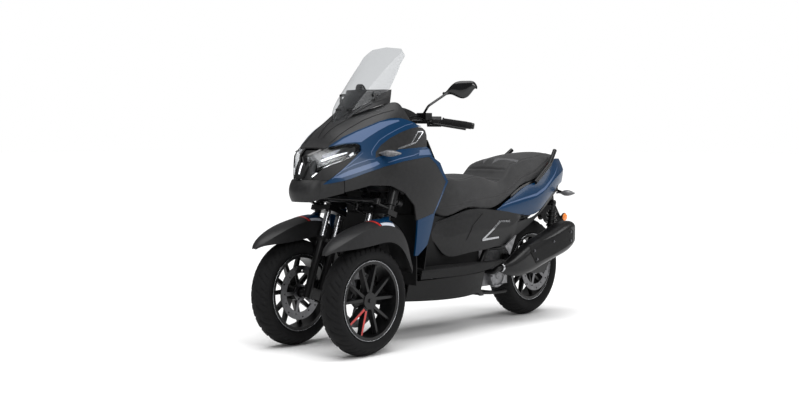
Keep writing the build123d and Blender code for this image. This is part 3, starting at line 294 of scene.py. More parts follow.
# Rounded bar along points, closed at its ends
def tube(name, points, radius, finish, body, sides=10, smooth_line=True):
    line = bpy.data.curves.new(name, "CURVE")
    line.dimensions = "3D"
    if smooth_line and len(points) > 2:
        spline = line.splines.new("NURBS")
    else:
        spline = line.splines.new("POLY")
    spline.points.add(len(points) - 1)
    for spot, point in zip(spline.points, points):
        spot.co = (*point, 1.0)
    if spline.type == "NURBS":
        spline.use_endpoint_u = True
        spline.order_u = 3
    line.resolution_u = 6
    line.bevel_depth = radius
    line.bevel_resolution = max(2, sides // 4)
    line.use_fill_caps = True
    holder = bpy.data.objects.new(name, line)
    mesh = bpy.data.meshes.new_from_object(holder)
    bpy.data.objects.remove(holder)
    return piece(name, mesh, finish, body)


# Round turned piece: rows of (along, radius) about an axis
def turned_piece(name, start, axis, rows, finish, body, sides=32):
    way = axis.normalized()
    side = way.orthogonal().normalized()
    other = way.cross(side)
    points = []
    for along, radius in rows:
        for i in range(sides):
            turn = math.tau * i / sides
            spoke = side * math.cos(turn) + other * math.sin(turn)
            points.append(start + way * along + spoke * radius)
    faces = []
    for row in range(len(rows) - 1):
        for i in range(sides):
            j = (i + 1) % sides
            low = row * sides
            faces.append((low + i, low + j, low + sides + j, low + sides + i))
    faces.append(tuple(reversed(range(sides))))
    faces.append(tuple(range((len(rows) - 1) * sides, len(rows) * sides)))
    made = piece(name, mesh_of(name, points, faces), finish, body)
    sharpen(made.data)
    return made


# Rows of a turned piece, written in millimetres
def in_mm(*rows):
    return [(along * MM, radius * MM) for along, radius in rows]


def sharpen(mesh, angle=35):
    mesh.set_sharp_from_angle(angle=math.radians(angle))


# Round bolt head on a washer: rows of (along, radius) as shares of its size
BOLT_SHARES = [(0, 1.35), (0.22, 1.35), (0.22, 1), (0.9, 1), (1, 0.86)]
BOLT_SIDES = 12


def bolt_rows(size):
    return [(size * along, size * radius) for along, radius in BOLT_SHARES]


def bolts(name, spots, axis, size, finish, body):
    joined = bmesh.new()
    for spot in spots:
        one = turned_piece(name + "_part", spot, axis, bolt_rows(size), finish, body, BOLT_SIDES)
        joined.from_mesh(one.data)
        bpy.data.meshes.remove(one.data)
    mesh = bpy.data.meshes.new(name)
    joined.to_mesh(mesh)
    joined.free()
    made = piece(name, mesh, finish, body)
    sharpen(mesh)
    return made


# Skins that decals and trim lie on
TREES = {}


def tree_of(mesh):
    corners = [v.co for v in mesh.vertices]
    return BVHTree.FromPolygons(corners, [p.vertices for p in mesh.polygons])


def skin_of(name):
    if name not in TREES:
        TREES[name] = tree_of(NODES[name].data)
    return TREES[name]


REACH = 2.0


# Ray starts and ways for each view that a patch is drawn in
def from_side(side):
    return lambda a, z: (Vector((AXLE_X + a * MM, REACH * side, z * MM)), Vector((0, -side, 0)))


def from_top(side):
    return lambda a, y: (Vector((AXLE_X + a * MM, y * side * MM, REACH)), Vector((0, 0, -1)))


def from_front(side):
    return lambda y, z: (Vector((REACH, y * side * MM, z * MM)), Vector((-1, 0, 0)))


def from_back(side):
    return lambda y, z: (Vector((-REACH, y * side * MM, z * MM)), Vector((1, 0, 0)))


# Turn in degrees about the front axle, and across from the wheel's middle
def from_wheel(side):
    def ray(turn, y):
        way = Vector((math.cos(math.radians(turn)), 0, math.sin(math.radians(turn))))
        middle = Vector((AXLE_X, (TRACK_Y + y * MM) * side, AXLE_HIGH.z / 2))
        return middle + way * 0.5, -way
    return ray


# Patch drawn as an outline in one view, cut fine and laid on a panel
def lay(name, outline, carrier, finish, body, view, grain=9.0, thick=0.0):
    shape = bmesh.new()
    corners = [shape.verts.new((u, v, 0)) for u, v in outline]
    shape.faces.new(corners)
    bmesh.ops.triangulate(shape, faces=shape.faces[:])
    for _ in range(6):
        long_edges = [e for e in shape.edges if e.calc_length() > grain]
        if not long_edges:
            break
        bmesh.ops.subdivide_edges(shape, edges=long_edges, cuts=1)
        bmesh.ops.triangulate(shape, faces=shape.faces[:])
    lost = []
    for vert in shape.verts:
        start, way = view(vert.co.x, vert.co.y)
        spot, normal, _, _ = skin_of(carrier).ray_cast(start, way)
        if spot is None:
            lost.append(vert)
            continue
        if normal.dot(way) > 0:
            normal = -normal
        vert.co = spot + normal * (thick if thick else LIFT)
    bmesh.ops.delete(shape, geom=lost, context="VERTS")
    bmesh.ops.recalc_face_normals(shape, faces=shape.faces[:])
    shape.faces.ensure_lookup_table()
    turned_in = 0.0
    for face in shape.faces:
        turned_in += face.normal.dot(view(outline[0][0], outline[0][1])[1]) * face.calc_area()
    if turned_in > 0:
        bmesh.ops.reverse_faces(shape, faces=shape.faces[:])
    if thick:
        rim = bmesh.ops.extrude_face_region(shape, geom=shape.faces[:])
        for vert in [g for g in rim["geom"] if isinstance(g, bmesh.types.BMVert)]:
            vert.co = skin_of(carrier).find_nearest(vert.co)[0]
        bmesh.ops.recalc_face_normals(shape, faces=shape.faces[:])
    mesh = bpy.data.meshes.new(name)
    shape.to_mesh(mesh)
    shape.free()
    made = piece(name, mesh, finish, body)
    if thick:
        sharpen(mesh)
    return made


def patch(name, outline, carrier, finish, body, side, grain=9.0, thick=0.0):
    return lay(name, outline, carrier, finish, body, from_side(side), grain, thick)


# Outline of a band of even or tapering width along a line in one view
def band(line, widths):
    left, right = [], []
    for i, (a, z) in enumerate(line):
        before = line[max(i - 1, 0)]
        after = line[min(i + 1, len(line) - 1)]
        way = Vector((after[0] - before[0], after[1] - before[1])).normalized()
        half = widths[min(i, len(widths) - 1)] / 2
        left.append((a - way.y * half, z + way.x * half))
        right.append((a + way.y * half, z - way.x * half))
    return left + right[::-1]


# Tyres with road tread
TREAD_PITCHES = 22
TREAD_STEPS = 20
TREAD_DEPTH = 4.5
TREAD_COLUMNS = 44
WALL_COLUMNS = 9
WALL_RIDGES = (2, 5)
RIDGE = 0.9 * MM
# Shares of the tyre's half width and radius
SHOULDER_SHARE = 0.92
BEAD_SHARE = 0.74
CROWN_SHARE = 0.115
BEAD_IN, BEAD_DOWN = 5 * MM, 9 * MM


def tread_depth(across, turn):
    reach = abs(across)
    if reach < 0.1 or reach > 0.97:
        return 0.0
    offset = 0.5 if across < 0 else 0.0
    phase = (turn * TREAD_PITCHES / math.tau + 0.75 * reach + offset) % 1.0
    width = 0.15 if reach < 0.72 else 0.1
    main = max(0.0, 1.0 - abs(phase - 0.5) / width)
    short = max(0.0, 1.0 - abs(((phase + 0.5) % 1.0) - 0.5) / 0.08) if reach > 0.55 else 0.0
    return min(1.0, 2.2 * max(main, short))


def treaded_tyre(name, body):
    low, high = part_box(name)
    rim_low, rim_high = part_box(name.replace("tyre", "rim"))
    centre = (low + high) / 2
    radius = (high.z - low.z) / 2
    half = (high.y - low.y) / 2
    lip = (rim_high.z - rim_low.z) / 2 + 1 * MM
    shoulder = half * SHOULDER_SHARE
    drop = radius * CROWN_SHARE
    bead = half * BEAD_SHARE
    bow = (shoulder ** 2 + drop ** 2) / (2 * drop)
    profile = []
    for i in range(WALL_COLUMNS):
        share = i / (WALL_COLUMNS - 1)
        bulge = math.sin(share * math.pi) ** 0.9
        y = bead + (shoulder - bead) * share + (half - (bead + shoulder) / 2) * bulge
        ridge = RIDGE if i in WALL_RIDGES else 0.0
        profile.append((min(y + ridge, half), lip + (radius - drop - lip) * share, None))
    crown = []
    for i in range(1, TREAD_COLUMNS):
        across = 1 - 2 * i / TREAD_COLUMNS
        y = shoulder * across
        crown.append((y, radius - bow + math.sqrt(bow ** 2 - y ** 2), across))
    mirrored = [(-y, r, c) for y, r, c in reversed(profile)]
    seat_y, seat_r = bead - BEAD_IN, lip - BEAD_DOWN
    rows = [(seat_y, seat_r, None), *profile, *crown, *mirrored, (-seat_y, seat_r, None)]
    steps = TREAD_PITCHES * TREAD_STEPS
    points = []
    for i in range(steps):
        turn = math.tau * i / steps
        for y, r, across in rows:
            cut = TREAD_DEPTH * MM * tread_depth(across, turn) if across is not None else 0.0
            deep = r - cut
            points.append(centre + Vector((math.cos(turn) * deep, y, math.sin(turn) * deep)))
    count = len(rows)
    faces = []
    for i in range(steps):
        j = (i + 1) % steps
        for k in range(count):
            n = (k + 1) % count
            faces.append((i * count + k, i * count + n, j * count + n, j * count + k))
    made = piece(name + "_treaded", mesh_of(name + "_treaded", points, faces), RUBBER, body)
    sharpen(made.data, 40)
    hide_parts(name)


# Name, body and the side that the disc's bolts face
WHEELS = (
    ("front_left", "wheel_left", -1),
    ("front_right", "wheel_right", 1),
    ("rear", "wheel_rear", 1),
)
for wheel, body, _ in WHEELS:
    treaded_tyre(wheel + "_tyre", body)


# Point at a turn and radius about a wheel's axle
def round_axle(centre, turn, radius, y):
    return Vector((centre.x + math.cos(turn) * radius, y, centre.z + math.sin(turn) * radius))


# Wheels: bright rim edges and disc bolts
EDGE_OUT = 5.5 * MM
EDGE_DOWN = 2 * MM
EDGE_R = 1.5 * MM
EDGE_STEPS = 72
DISC_BOLTS = 5
DISC_BOLT_CIRCLE = 33 * MM
DISC_BOLT = 5 * MM
for wheel, body, outer in WHEELS:
    low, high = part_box(wheel + "_rim")
    centre = (low + high) / 2
    tyre_low, tyre_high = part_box(wheel + "_tyre")
    edge = (tyre_high.y - tyre_low.y) / 2 * BEAD_SHARE + EDGE_OUT
    middle_y = (tyre_low.y + tyre_high.y) / 2
    lip = (high.z - low.z) / 2
    for face in (-1, 1):
        ring = []
        for i in range(EDGE_STEPS + 1):
            turn = math.tau * i / EDGE_STEPS
            ring.append(round_axle(centre, turn, lip - EDGE_DOWN, middle_y + face * edge))
        where = "in" if face < 0 else "out"
        tube(f"{wheel}_rim_edge_{where}", ring, EDGE_R, SILVER, body, 8, False)
    disc_low, disc_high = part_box(wheel + "_disc")
    plane = disc_high.y if outer > 0 else disc_low.y
    spots = []
    for i in range(DISC_BOLTS):
        spots.append(round_axle(centre, math.tau * i / DISC_BOLTS, DISC_BOLT_CIRCLE, plane))
    bolts(wheel + "_disc_bolts", spots, Vector((0, outer, 0)), DISC_BOLT, BOLT, body)

# Seat: padded cover over the cushion, with seams
VOXEL = 5 * MM
SOFT_ROUNDS = 8
SEAM_DEPTH = 3.2
SEAM_WIDTH = 3.4
SEAM_REACH = 20
SWELL, SWELL_AT, SWELL_WIDTH = 1.4, 11, 6


def padded_seat():
    mesh = NODES["seat"].data.copy()
    mesh.name = "seat_cushion"
    shape = bmesh.new()
    shape.from_mesh(mesh)
    bmesh.ops.remove_doubles(shape, verts=shape.verts, dist=1e-6)
    shape.to_mesh(mesh)
    shape.free()
    mesh.materials.clear()
    cushion = piece("seat_cushion", mesh, COVER, "seat")
    remesh = cushion.modifiers.new("even", "REMESH")
    remesh.mode = "VOXEL"
    remesh.voxel_size = VOXEL
    soft = cushion.modifiers.new("soft", "SMOOTH")
    soft.factor = 0.5
    soft.iterations = SOFT_ROUNDS
    bpy.context.view_layer.update()
    graph = bpy.context.evaluated_depsgraph_get()
    done = bpy.data.meshes.new_from_object(cushion.evaluated_get(graph))
    cushion.modifiers.clear()
    cushion.data = done
    if not done.materials:
        done.materials.append(COVER)
    sew(done)
    TREES["seat_cushion"] = tree_of(done)
    for polygon in done.polygons:
        polygon.use_smooth = True
    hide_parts("seat")
    return cushion


# Seam lines on the cushion: (ahead, across) as seen from above
SEAMS_TOP = [
    [(-700, 88), (-760, 112), (-880, 132), (-1080, 138), (-1180, 134)],
    [(-1250, 128), (-1340, 128), (-1480, 124), (-1640, 108), (-1740, 70)],
    [(-1180, 134), (-1172, 90), (-1168, 40), (-1167, 0)],
    [(-1250, 128), (-1238, 80), (-1234, 0)],
]
# Seam lines on the flank: (ahead, up)
SEAMS_SIDE = [
    [
        (-690, 660), (-800, 672), (-930, 690), (-1100, 702),
        (-1200, 726), (-1320, 790), (-1480, 830), (-1620, 892),
    ],
]


def line_gap(x, y, line):
    best = 1e9
    for (ax, ay), (bx, by) in zip(line[:-1], line[1:]):
        dx, dy = bx - ax, by - ay
        share = max(0.0, min(1.0, ((x - ax) * dx + (y - ay) * dy) / (dx * dx + dy * dy)))
        best = min(best, math.hypot(x - ax - dx * share, y - ay - dy * share))
    return best


def sew(mesh):
    moves = []
    for vert in mesh.vertices:
        a = (vert.co.x - AXLE_X) / MM
        y = abs(vert.co.y) / MM
        z = vert.co.z / MM
        gap = 1e9
        if vert.normal.z > 0.45:
            for line in SEAMS_TOP:
                gap = min(gap, line_gap(a, y, line))
        if abs(vert.normal.y) > 0.5:
            for line in SEAMS_SIDE:
                gap = min(gap, line_gap(a, z, line))
        if gap < SEAM_REACH:
            swell = SWELL * math.exp(-(((gap - SWELL_AT) / SWELL_WIDTH) ** 2))
            groove = SEAM_DEPTH * math.exp(-((gap / SEAM_WIDTH) ** 2))
            moves.append((vert, vert.normal * (swell - groove) * MM))
    for vert, move in moves:
        vert.co = vert.co + move
    mesh.update()


padded_seat()

# Painted highlights, for light reflected off the panels' facets and the edge strip, and pale lines
# on the blue panels, in the side view
UPPER_PATCH = [
    (72, 984), (17, 1018), (-49, 1049), (-110, 1072), (-173, 1095), (-226, 1104),
    (-268, 1107), (-272, 1101), (-210, 1082), (-144, 1054), (-98, 1030), (-65, 1011),
    (-50, 1001), (-23, 1001), (12, 998), (45, 992),
]
VENT_LINE = [
    (-76, 939), (-78, 955), (-97, 978), (-131, 1009),
    (-174, 1032), (-230, 1056), (-293, 1080), (-341, 1090),
]
LOW_LINE = [(75, 861), (8, 897), (-58, 920), (-84, 922)]
LOW_PATCH = [
    (97, 836), (33, 869), (-35, 894), (-90, 911), (-100, 899), (-75, 887), (12, 855), (66, 835),
]
REAR_LINE = [(-140, 905), (-209, 922), (-300, 937), (-338, 948)]
REAR_PATCH = [(-344, 962), (-410, 964), (-424, 938), (-334, 936)]
FRONT_LINE = [(100, 830), (84, 847), (34, 892), (-42, 952)]
TAIL_LINE = [
    (-1100, 641), (-1178, 660), (-1316, 683), (-1441, 700),
    (-1520, 728), (-1620, 790), (-1700, 846),
]
TAIL_WIDTHS = [2, 5, 8, 13, 15, 8, 3]
STRIP_LINE = [(-540, 792), (-502, 742), (-462, 690), (-440, 664)]
FINE, COARSE = 7, 9.0
PAINTED = [
    # name, outline, panel, grain
    ("upper_highlight", UPPER_PATCH, "front_side_panels", COARSE),
    ("vent_line", band(VENT_LINE, [2.4]), "front_side_panels", FINE),
    ("low_line", band(LOW_LINE, [2.0, 4.0, 3.0, 1.5]), "front_side_panels", FINE),
    ("low_highlight", LOW_PATCH, "front_side_panels", COARSE),
    ("rear_line", band(REAR_LINE, [2.0, 4.0, 4.0, 2.0]), "front_side_panels", FINE),
    ("rear_highlight", REAR_PATCH, "front_side_panels", COARSE),
    ("front_line", band(FRONT_LINE, [1.5, 3.0, 3.0, 1.5]), "front_side_panels", FINE),
    ("tail_line", band(TAIL_LINE, TAIL_WIDTHS), "tail_panels", COARSE),
    ("edge_highlight", band(STRIP_LINE, [6, 9, 9, 5]), "leg_shield_edges", FINE),
]
for name, side in SIDES:
    for mark, outline, panel, grain in PAINTED:
        patch(f"{mark}_{name}", outline, panel, PALE_HIGHLIGHT_AND_LINE, "chassis", side, grain)

# Bright trim on the vents and the side covers
VENT_FRAME = [(-296, 990), (-356, 1049), (-392, 1049), (-326, 996)]
VENT_BAR = [(-212, 968), (-293, 989), (-326, 998)]
ORNAMENT = [(-1082, 486), (-950, 480), (-1098, 570), (-1186, 566)]
TRIM_GRAIN = 8
for name, side in SIDES:
    ends = [*VENT_FRAME[1:], VENT_FRAME[0]]
    for number, line in enumerate(zip(VENT_FRAME, ends)):
        patch(
            f"vent_frame_{name}_{number}", band(line, [4.5]),
            "leg_shield_sides", SILVER, "chassis", side, TRIM_GRAIN, 1.6 * MM,
        )
    patch(
        f"vent_bar_{name}", band(VENT_BAR, [6, 9, 6]),
        "leg_shield_sides", SILVER, "chassis", side, TRIM_GRAIN, 2 * MM,
    )
    for number, line in enumerate(zip(ORNAMENT[:-1], ORNAMENT[1:])):
        patch(
            f"cover_ornament_{name}_{number}", band(line, [9, 12]),
            "side_covers", SILVER, "chassis", side, TRIM_GRAIN, 2.4 * MM,
        )

# Nose: a light slot in the middle and a dark frame around it
NOSE_FRAME = [(-44, 912), (-30, 842), (-18, 828), (18, 828), (30, 842), (44, 912)]
NOSE_SLOT = [(0, 904), (0, 852)]
front = from_front(1)
lay("nose_frame", band(NOSE_FRAME, [7]), "nose", GLOSS, "chassis", front, FINE, 5 * MM)
lay("nose_slot", band(NOSE_SLOT, [8, 6]), "nose", LAMP, "chassis", front, FINE, 3 * MM)

# Cowl: raised creases, as seen from above
COWL_CREASES = [
    [(-272, 181), (-207, 151), (-119, 117), (-40, 101), (32, 88), (72, 82)],
    [(-262, 140), (-189, 100), (-104, 52), (-5, 28), (46, 15)],
]
for name, side in SIDES:
    for number, line in enumerate(COWL_CREASES):
        widths = [2] + [7] * (len(line) - 2) + [2]
        lay(
            f"cowl_crease_{name}_{number}", band(line, widths),
            "front_cowl", COWL, "chassis", from_top(side), FINE, 2.5 * MM,
        )


# Thin upright liner at one distance across: rows of (ahead, low, high)
def liner(name, rows, y, finish, body):
    points, faces = [], []
    near, far = y - 1, y + 1
    for a, low, high in rows:
        points += [at(a, near, low), at(a, near, high), at(a, far, high), at(a, far, low)]
    for i in range(len(rows) - 1):
        for k in range(4):
            n = (k + 1) % 4
            faces.append((4 * i + k, 4 * i + n, 4 * i + 4 + n, 4 * i + 4 + k))
    faces.append((3, 2, 1, 0))
    last = 4 * (len(rows) - 1)
    faces.append((last, last + 1, last + 2, last + 3))
    return piece(name, mesh_of(name, points, faces), finish, body, False)


# Dark liners behind the foot boards and under the seat's sides
FOOT_LINER = [(-440, 340, 600), (-520, 340, 640), (-760, 340, 600), (-1000, 340, 560)]
FOOT_LINER_Y = 138
SEAT_LINER_LOW = [(-1092, 600), (-1360, 562), (-1500, 588), (-1660, 690)]
SEAT_LINER_Y = 120
SEAT_LINER_FROM = 500
SEAT_LINER_STEPS = 5
SEAT_ROOM = 9
for name, side in SIDES:
    liner(f"foot_liner_{name}", FOOT_LINER, FOOT_LINER_Y * side, BLACK, "chassis")
    rows = []
    for (a0, z0), (a1, z1) in zip(SEAT_LINER_LOW[:-1], SEAT_LINER_LOW[1:]):
        for step in range(SEAT_LINER_STEPS):
            a = a0 + (a1 - a0) * step / SEAT_LINER_STEPS
            low = z0 + (z1 - z0) * step / SEAT_LINER_STEPS
            below = at(a, SEAT_LINER_Y * side, SEAT_LINER_FROM)
            spot = skin_of("seat").ray_cast(below, Vector((0, 0, 1)))[0]
            if spot is not None:
                rows.append((a, low, spot.z / MM - SEAT_ROOM))
    liner(f"seat_liner_{name}", rows, SEAT_LINER_Y * side, BLACK, "chassis")

# Dark wall ahead of the inner leg shield, behind the front linkage
WALL_A, WALL_Y, WALL_LOW, WALL_HIGH = -362, 215, 600, 790
WALL_THICK = 3
BOX_FACES = [(3, 2, 1, 0), (4, 5, 6, 7), (0, 1, 5, 4), (1, 2, 6, 5), (2, 3, 7, 6), (3, 0, 4, 7)]
for name, side in SIDES:
    edge = WALL_Y * side
    corners = [(0, WALL_LOW), (edge, WALL_LOW), (edge, WALL_HIGH), (0, WALL_HIGH)]
    points = [at(a, y, z) for a in (WALL_A, WALL_A + WALL_THICK) for y, z in corners]
    wall = mesh_of(f"arch_wall_{name}", points, BOX_FACES)
    piece(f"arch_wall_{name}", wall, BLACK, "chassis", False)

# Side covers: raised creases
CREASES = [
    [(-518, 563), (-600, 578), (-717, 598), (-840, 610), (-968, 619)],
    [(-968, 617), (-930, 590), (-883, 554), (-835, 487)],
]
for name, side in SIDES:
    for number, line in enumerate(CREASES):
        widths = [3] + [9] * (len(line) - 2) + [3]
        patch(
            f"cover_crease_{name}_{number}", band(line, widths),
            "side_covers", DARK, "chassis", side, TRIM_GRAIN, 3 * MM,
        )

# Headlamps: light bars and reflectors on the housings behind the lenses
LIGHT_BAR = [(112, 913), (80, 925), (42, 938), (0, 950)]
REFLECTOR = [(104, 938), (45, 962), (20, 966), (58, 936), (101, 924)]
for name, side in SIDES:
    patch(
        f"light_bar_{name}", band(LIGHT_BAR, [7, 8, 7, 4]),
        "headlamp_housings", LAMP, "chassis", side, TRIM_GRAIN, 6 * MM,
    )
    patch(
        f"lamp_reflector_{name}", REFLECTOR,
        "headlamp_housings", BOLT, "chassis", side, TRIM_GRAIN, 4 * MM,
    )


# Fender stripes: a red line, a blue block and white ends
FENDER_MARKS = [
    # name, finish, turn from, turn to, across from, across to
    ("red", RED, 96.2, 98.2, -66, 66),
    ("blue", BLUE, 99.0, 113.0, -48, 48),
    ("white_in", WHITE, 99.0, 113.0, -66, -50),
    ("white_out", WHITE, 99.0, 113.0, 50, 66),
]
MARK_STEPS = 14
MARK_GRAIN = 4.0
for name, side in SIDES:
    for mark, finish, low, high, inner, outer in FENDER_MARKS:
        wide = outer - inner
        outline = [(low, inner + wide * i / MARK_STEPS) for i in range(MARK_STEPS + 1)]
        outline += [(high, outer - wide * i / MARK_STEPS) for i in range(MARK_STEPS + 1)]
        lay(
            f"fender_{mark}_{name}", outline,
            f"front_{name}_fender", finish, f"knuckle_{name}", from_wheel(side), MARK_GRAIN,
        )

# Seat: lighter crescent at the step
CRESCENT = [
    (-1258, 30), (-1300, 62), (-1330, 96), (-1352, 128),
    (-1380, 122), (-1372, 92), (-1345, 55), (-1300, 22),
]
for name, side in SIDES:
    lay(f"seat_crescent_{name}", CRESCENT, "seat_cushion", CRESCENT_GREY, "seat", from_top(side), FINE)

# Fork: bright upper tubes, dust seals, brake hose
CASTER = math.radians(20)
PIN = at(68 - 700 * math.tan(CASTER), 0, 700)


def steer(u, v, w):
    ahead = Vector((math.cos(CASTER), 0, math.sin(CASTER)))
    up = Vector((-math.sin(CASTER), 0, math.cos(CASTER)))
    return PIN + ahead * u * MM + Vector((0, v * MM, 0)) + up * w * MM


LEG_V = TRACK_Y / MM - 95
LEGS = (("front", 25.6), ("back", -59.0))
FORK_TUBE = in_mm((0, 15.4), (142, 15.4))
FORK_SEAL = in_mm((0, 20.6), (6, 22.5), (16, 21), (22, 18), (24, 15.8))
TUBE_W, SEAL_W, FORK_BOLT_W = -200, -208, -26
FORK_BOLT = 9 * MM
HOSE_R = 3.6 * MM
HOSE = [
    (-90, 165, -420), (-112, 160, -380), (-104, 150, -300),
    (-88, 140, -200), (-86, 130, -110), (-84, 128, -60),
]
UP = (steer(0, 0, 1) - steer(0, 0, 0)).normalized()
for name, side in SIDES:
    body = f"knuckle_{name}"
    for leg, u in LEGS:
        foot = steer(u, LEG_V * side, TUBE_W)
        turned_piece(f"fork_tube_{name}_{leg}", foot, UP, FORK_TUBE, SILVER, body)
        base = steer(u, LEG_V * side, SEAL_W)
        turned_piece(f"fork_seal_{name}_{leg}", base, UP, FORK_SEAL, GRIP, body)
    hose = [steer(u, v * side, w) for u, v, w in HOSE]
    tube(f"brake_hose_{name}", hose, HOSE_R, GRIP, body)
    spots = [steer(u, LEG_V * side, FORK_BOLT_W) for _, u in LEGS]
    bolts(f"fork_bolts_{name}", spots, UP, FORK_BOLT, BOLT, body)

# Rear shocks: coil springs
SHOCK_TOP = at(-1690, 140, 640)
SHOCK_LOW = at(-1645, 140, 318)
COIL_R = 27 * MM
COIL_TURNS = 8
COIL_STEPS = 24
COIL_FROM, COIL_LENGTH = 42, 186
COIL_WIRE = 3.8 * MM
for name, side in SIDES:
    top = flip(SHOCK_TOP, side)
    way = (flip(SHOCK_LOW, side) - top).normalized()
    across = way.orthogonal().normalized()
    other = way.cross(across)
    coil = []
    for i in range(COIL_TURNS * COIL_STEPS + 1):
        turn = math.tau * i / COIL_STEPS
        along = (COIL_FROM + COIL_LENGTH * i / (COIL_TURNS * COIL_STEPS)) * MM
        spoke = across * math.cos(turn) + other * math.sin(turn)
        coil.append(top + way * along + spoke * COIL_R)
    tube(f"shock_spring_{name}", coil, COIL_WIRE, METAL, "chassis", 8, False)

# Muffler: heat shield, bolts, clamp and end cap
LEFT = Vector((0, 1, 0))
AHEAD = Vector((1, 0, 0))
SHIELD = [
    (-1292, 392), (-1310, 426), (-1480, 462), (-1672, 506),
    (-1706, 484), (-1696, 420), (-1500, 366), (-1340, 330),
]
SHIELD_THICK = 3 * MM
SHIELD_BOLTS = ((-1322, 400), (-1345, 352), (-1670, 482), (-1672, 432), (-1500, 440))
SHIELD_BOLT = 5.5 * MM
CLAMP = in_mm((0, 20), (0, 23), (3, 25), (13, 25), (16, 23), (16, 20))
OUTLET = in_mm((0, 34), (5, 34), (7, 30), (7, 20), (-6, 18), (-8, 2))
patch("muffler_shield", SHIELD, "exhaust", BLACK, "chassis", 1, 16, SHIELD_THICK)
shield_bolts = []
for a, z in SHIELD_BOLTS:
    spot = skin_of("exhaust").ray_cast(*from_side(1)(a, z))[0]
    shield_bolts.append(spot + LEFT * SHIELD_THICK)
bolts("muffler_bolts", shield_bolts, LEFT, SHIELD_BOLT, BOLT, "chassis")
turned_piece("exhaust_clamp", at(-1110, 214, 322), AHEAD, CLAMP, SILVER, "chassis")
turned_piece("muffler_outlet", at(-1738, 218, 470), -AHEAD, OUTLET, METAL, "chassis")

# Engine side cover: ring and bolts
COVER_SPOT = at(-1180, 128, 268)
COVER_RING = in_mm((0, 64), (5, 64), (7, 60), (7, 52), (2, 48), (2, 20), (8, 16))
COVER_BOLTS = 6
COVER_BOLT_CIRCLE = 57 * MM
COVER_BOLT = 4.5 * MM
COVER_RISE = 7 * MM
turned_piece("engine_cover_ring", COVER_SPOT, LEFT, COVER_RING, ALLOY, "chassis", 48)
cover_bolts = []
for i in range(COVER_BOLTS):
    turn = math.tau * i / COVER_BOLTS
    cover_bolts.append(round_axle(COVER_SPOT, turn, COVER_BOLT_CIRCLE, COVER_SPOT.y + COVER_RISE))
bolts("engine_cover_bolts", cover_bolts, LEFT, COVER_BOLT, BOLT, "chassis")

# Reflectors on the plate arm
STALK = in_mm((0, 9), (16, 9), (17, 24), (24, 25), (26, 22))
GLASS = in_mm((0, 22), (2, 22), (5, 19), (6.5, 10))
GLASS_RISE = 26 * MM
for name, side in SIDES:
    base = at(-1888, 62 * side, 545)
    out = LEFT * side
    turned_piece(f"reflector_base_{name}", base, out, STALK, BLACK, "chassis")
    turned_piece(f"reflector_{name}", base + out * GLASS_RISE, out, GLASS, AMBER, "chassis")

# Handlebar: ribbed grips, end weights, cables and mirror glass
GRIP_IN = at(-559, 250, 1099)
GRIP_OUT = at(-628, 370, 1079)
MIRROR_FACE = [
    (280, 1238), (318, 1229), (346, 1222), (380, 1247), (398, 1266),
    (384, 1292), (346, 1293), (316, 1288), (292, 1264),
]
CABLES = [
    [(-512, 206, 1106), (-470, 200, 1130), (-420, 150, 1122), (-400, 90, 1092)],
    [(-506, 214, 1096), (-455, 214, 1120), (-405, 160, 1110), (-398, 80, 1082)],
]
CABLE_R = 3.4 * MM
GRIP_COLLAR = in_mm((0, 21), (5, 21), (6, 17.4))
GRIP_RIBS = 18
RIB_FROM, RIB_PITCH = 10, 6.4
RIB = in_mm((0, 17.4), (1, 18.4), (4, 18.4), (5, 17.4))
BAR_WEIGHT = in_mm((0, 12), (2, 15), (12, 15), (15, 12))
WEIGHT_GAP = 6 * MM
for name, side in SIDES:
    inner = flip(GRIP_IN, side)
    way = flip(GRIP_OUT, side) - inner
    length = way.length
    way.normalize()
    rows = list(GRIP_COLLAR)
    for i in range(GRIP_RIBS):
        start = (RIB_FROM + i * RIB_PITCH) * MM
        rows += [(start + along, radius) for along, radius in RIB]
    turned_piece(f"grip_ribs_{name}", inner, way, rows, GRIP, "steering", 28)
    end = inner + way * (length + WEIGHT_GAP)
    turned_piece(f"bar_weight_{name}", end, way, BAR_WEIGHT, METAL, "steering")
    lay(f"mirror_glass_{name}", MIRROR_FACE, "mirrors", MIRROR, "steering", from_back(side), 8)
    for number, points in enumerate(CABLES):
        line = [at(a, y * side, z) for a, y, z in points]
        tube(f"bar_cable_{name}_{number}", line, CABLE_R, GRIP, "steering")

# Screen bolts
SCREEN_BOLTS = ((36, 1156), (-36, 1156), (108, 1228), (-108, 1228))
SCREEN_BOLT = 5 * MM
screen_bolts = [skin_of("windscreen").ray_cast(*front(y, z))[0] for y, z in SCREEN_BOLTS]
bolts("screen_bolts", screen_bolts, AHEAD, SCREEN_BOLT, METAL, "chassis")

# Foot boards: rubber ribs, shorter where the board narrows
FOOT_RIBS = 6
FOOT_RIB_Y, FOOT_RIB_PITCH = 168, 13
NARROW_Y = 190
for name, side in SIDES:
    for number in range(FOOT_RIBS):
        y = FOOT_RIB_Y + number * FOOT_RIB_PITCH
        start, end = (-450, -690) if y < NARROW_Y else (-430, -900)
        rib = [(start, y), (end, y + 4), (end, y + 10), (start, y + 6)]
        lay(
            f"foot_rib_{name}_{number}", rib,
            "foot_boards", GRIP, "chassis", from_top(side), 40, 2 * MM,
        )

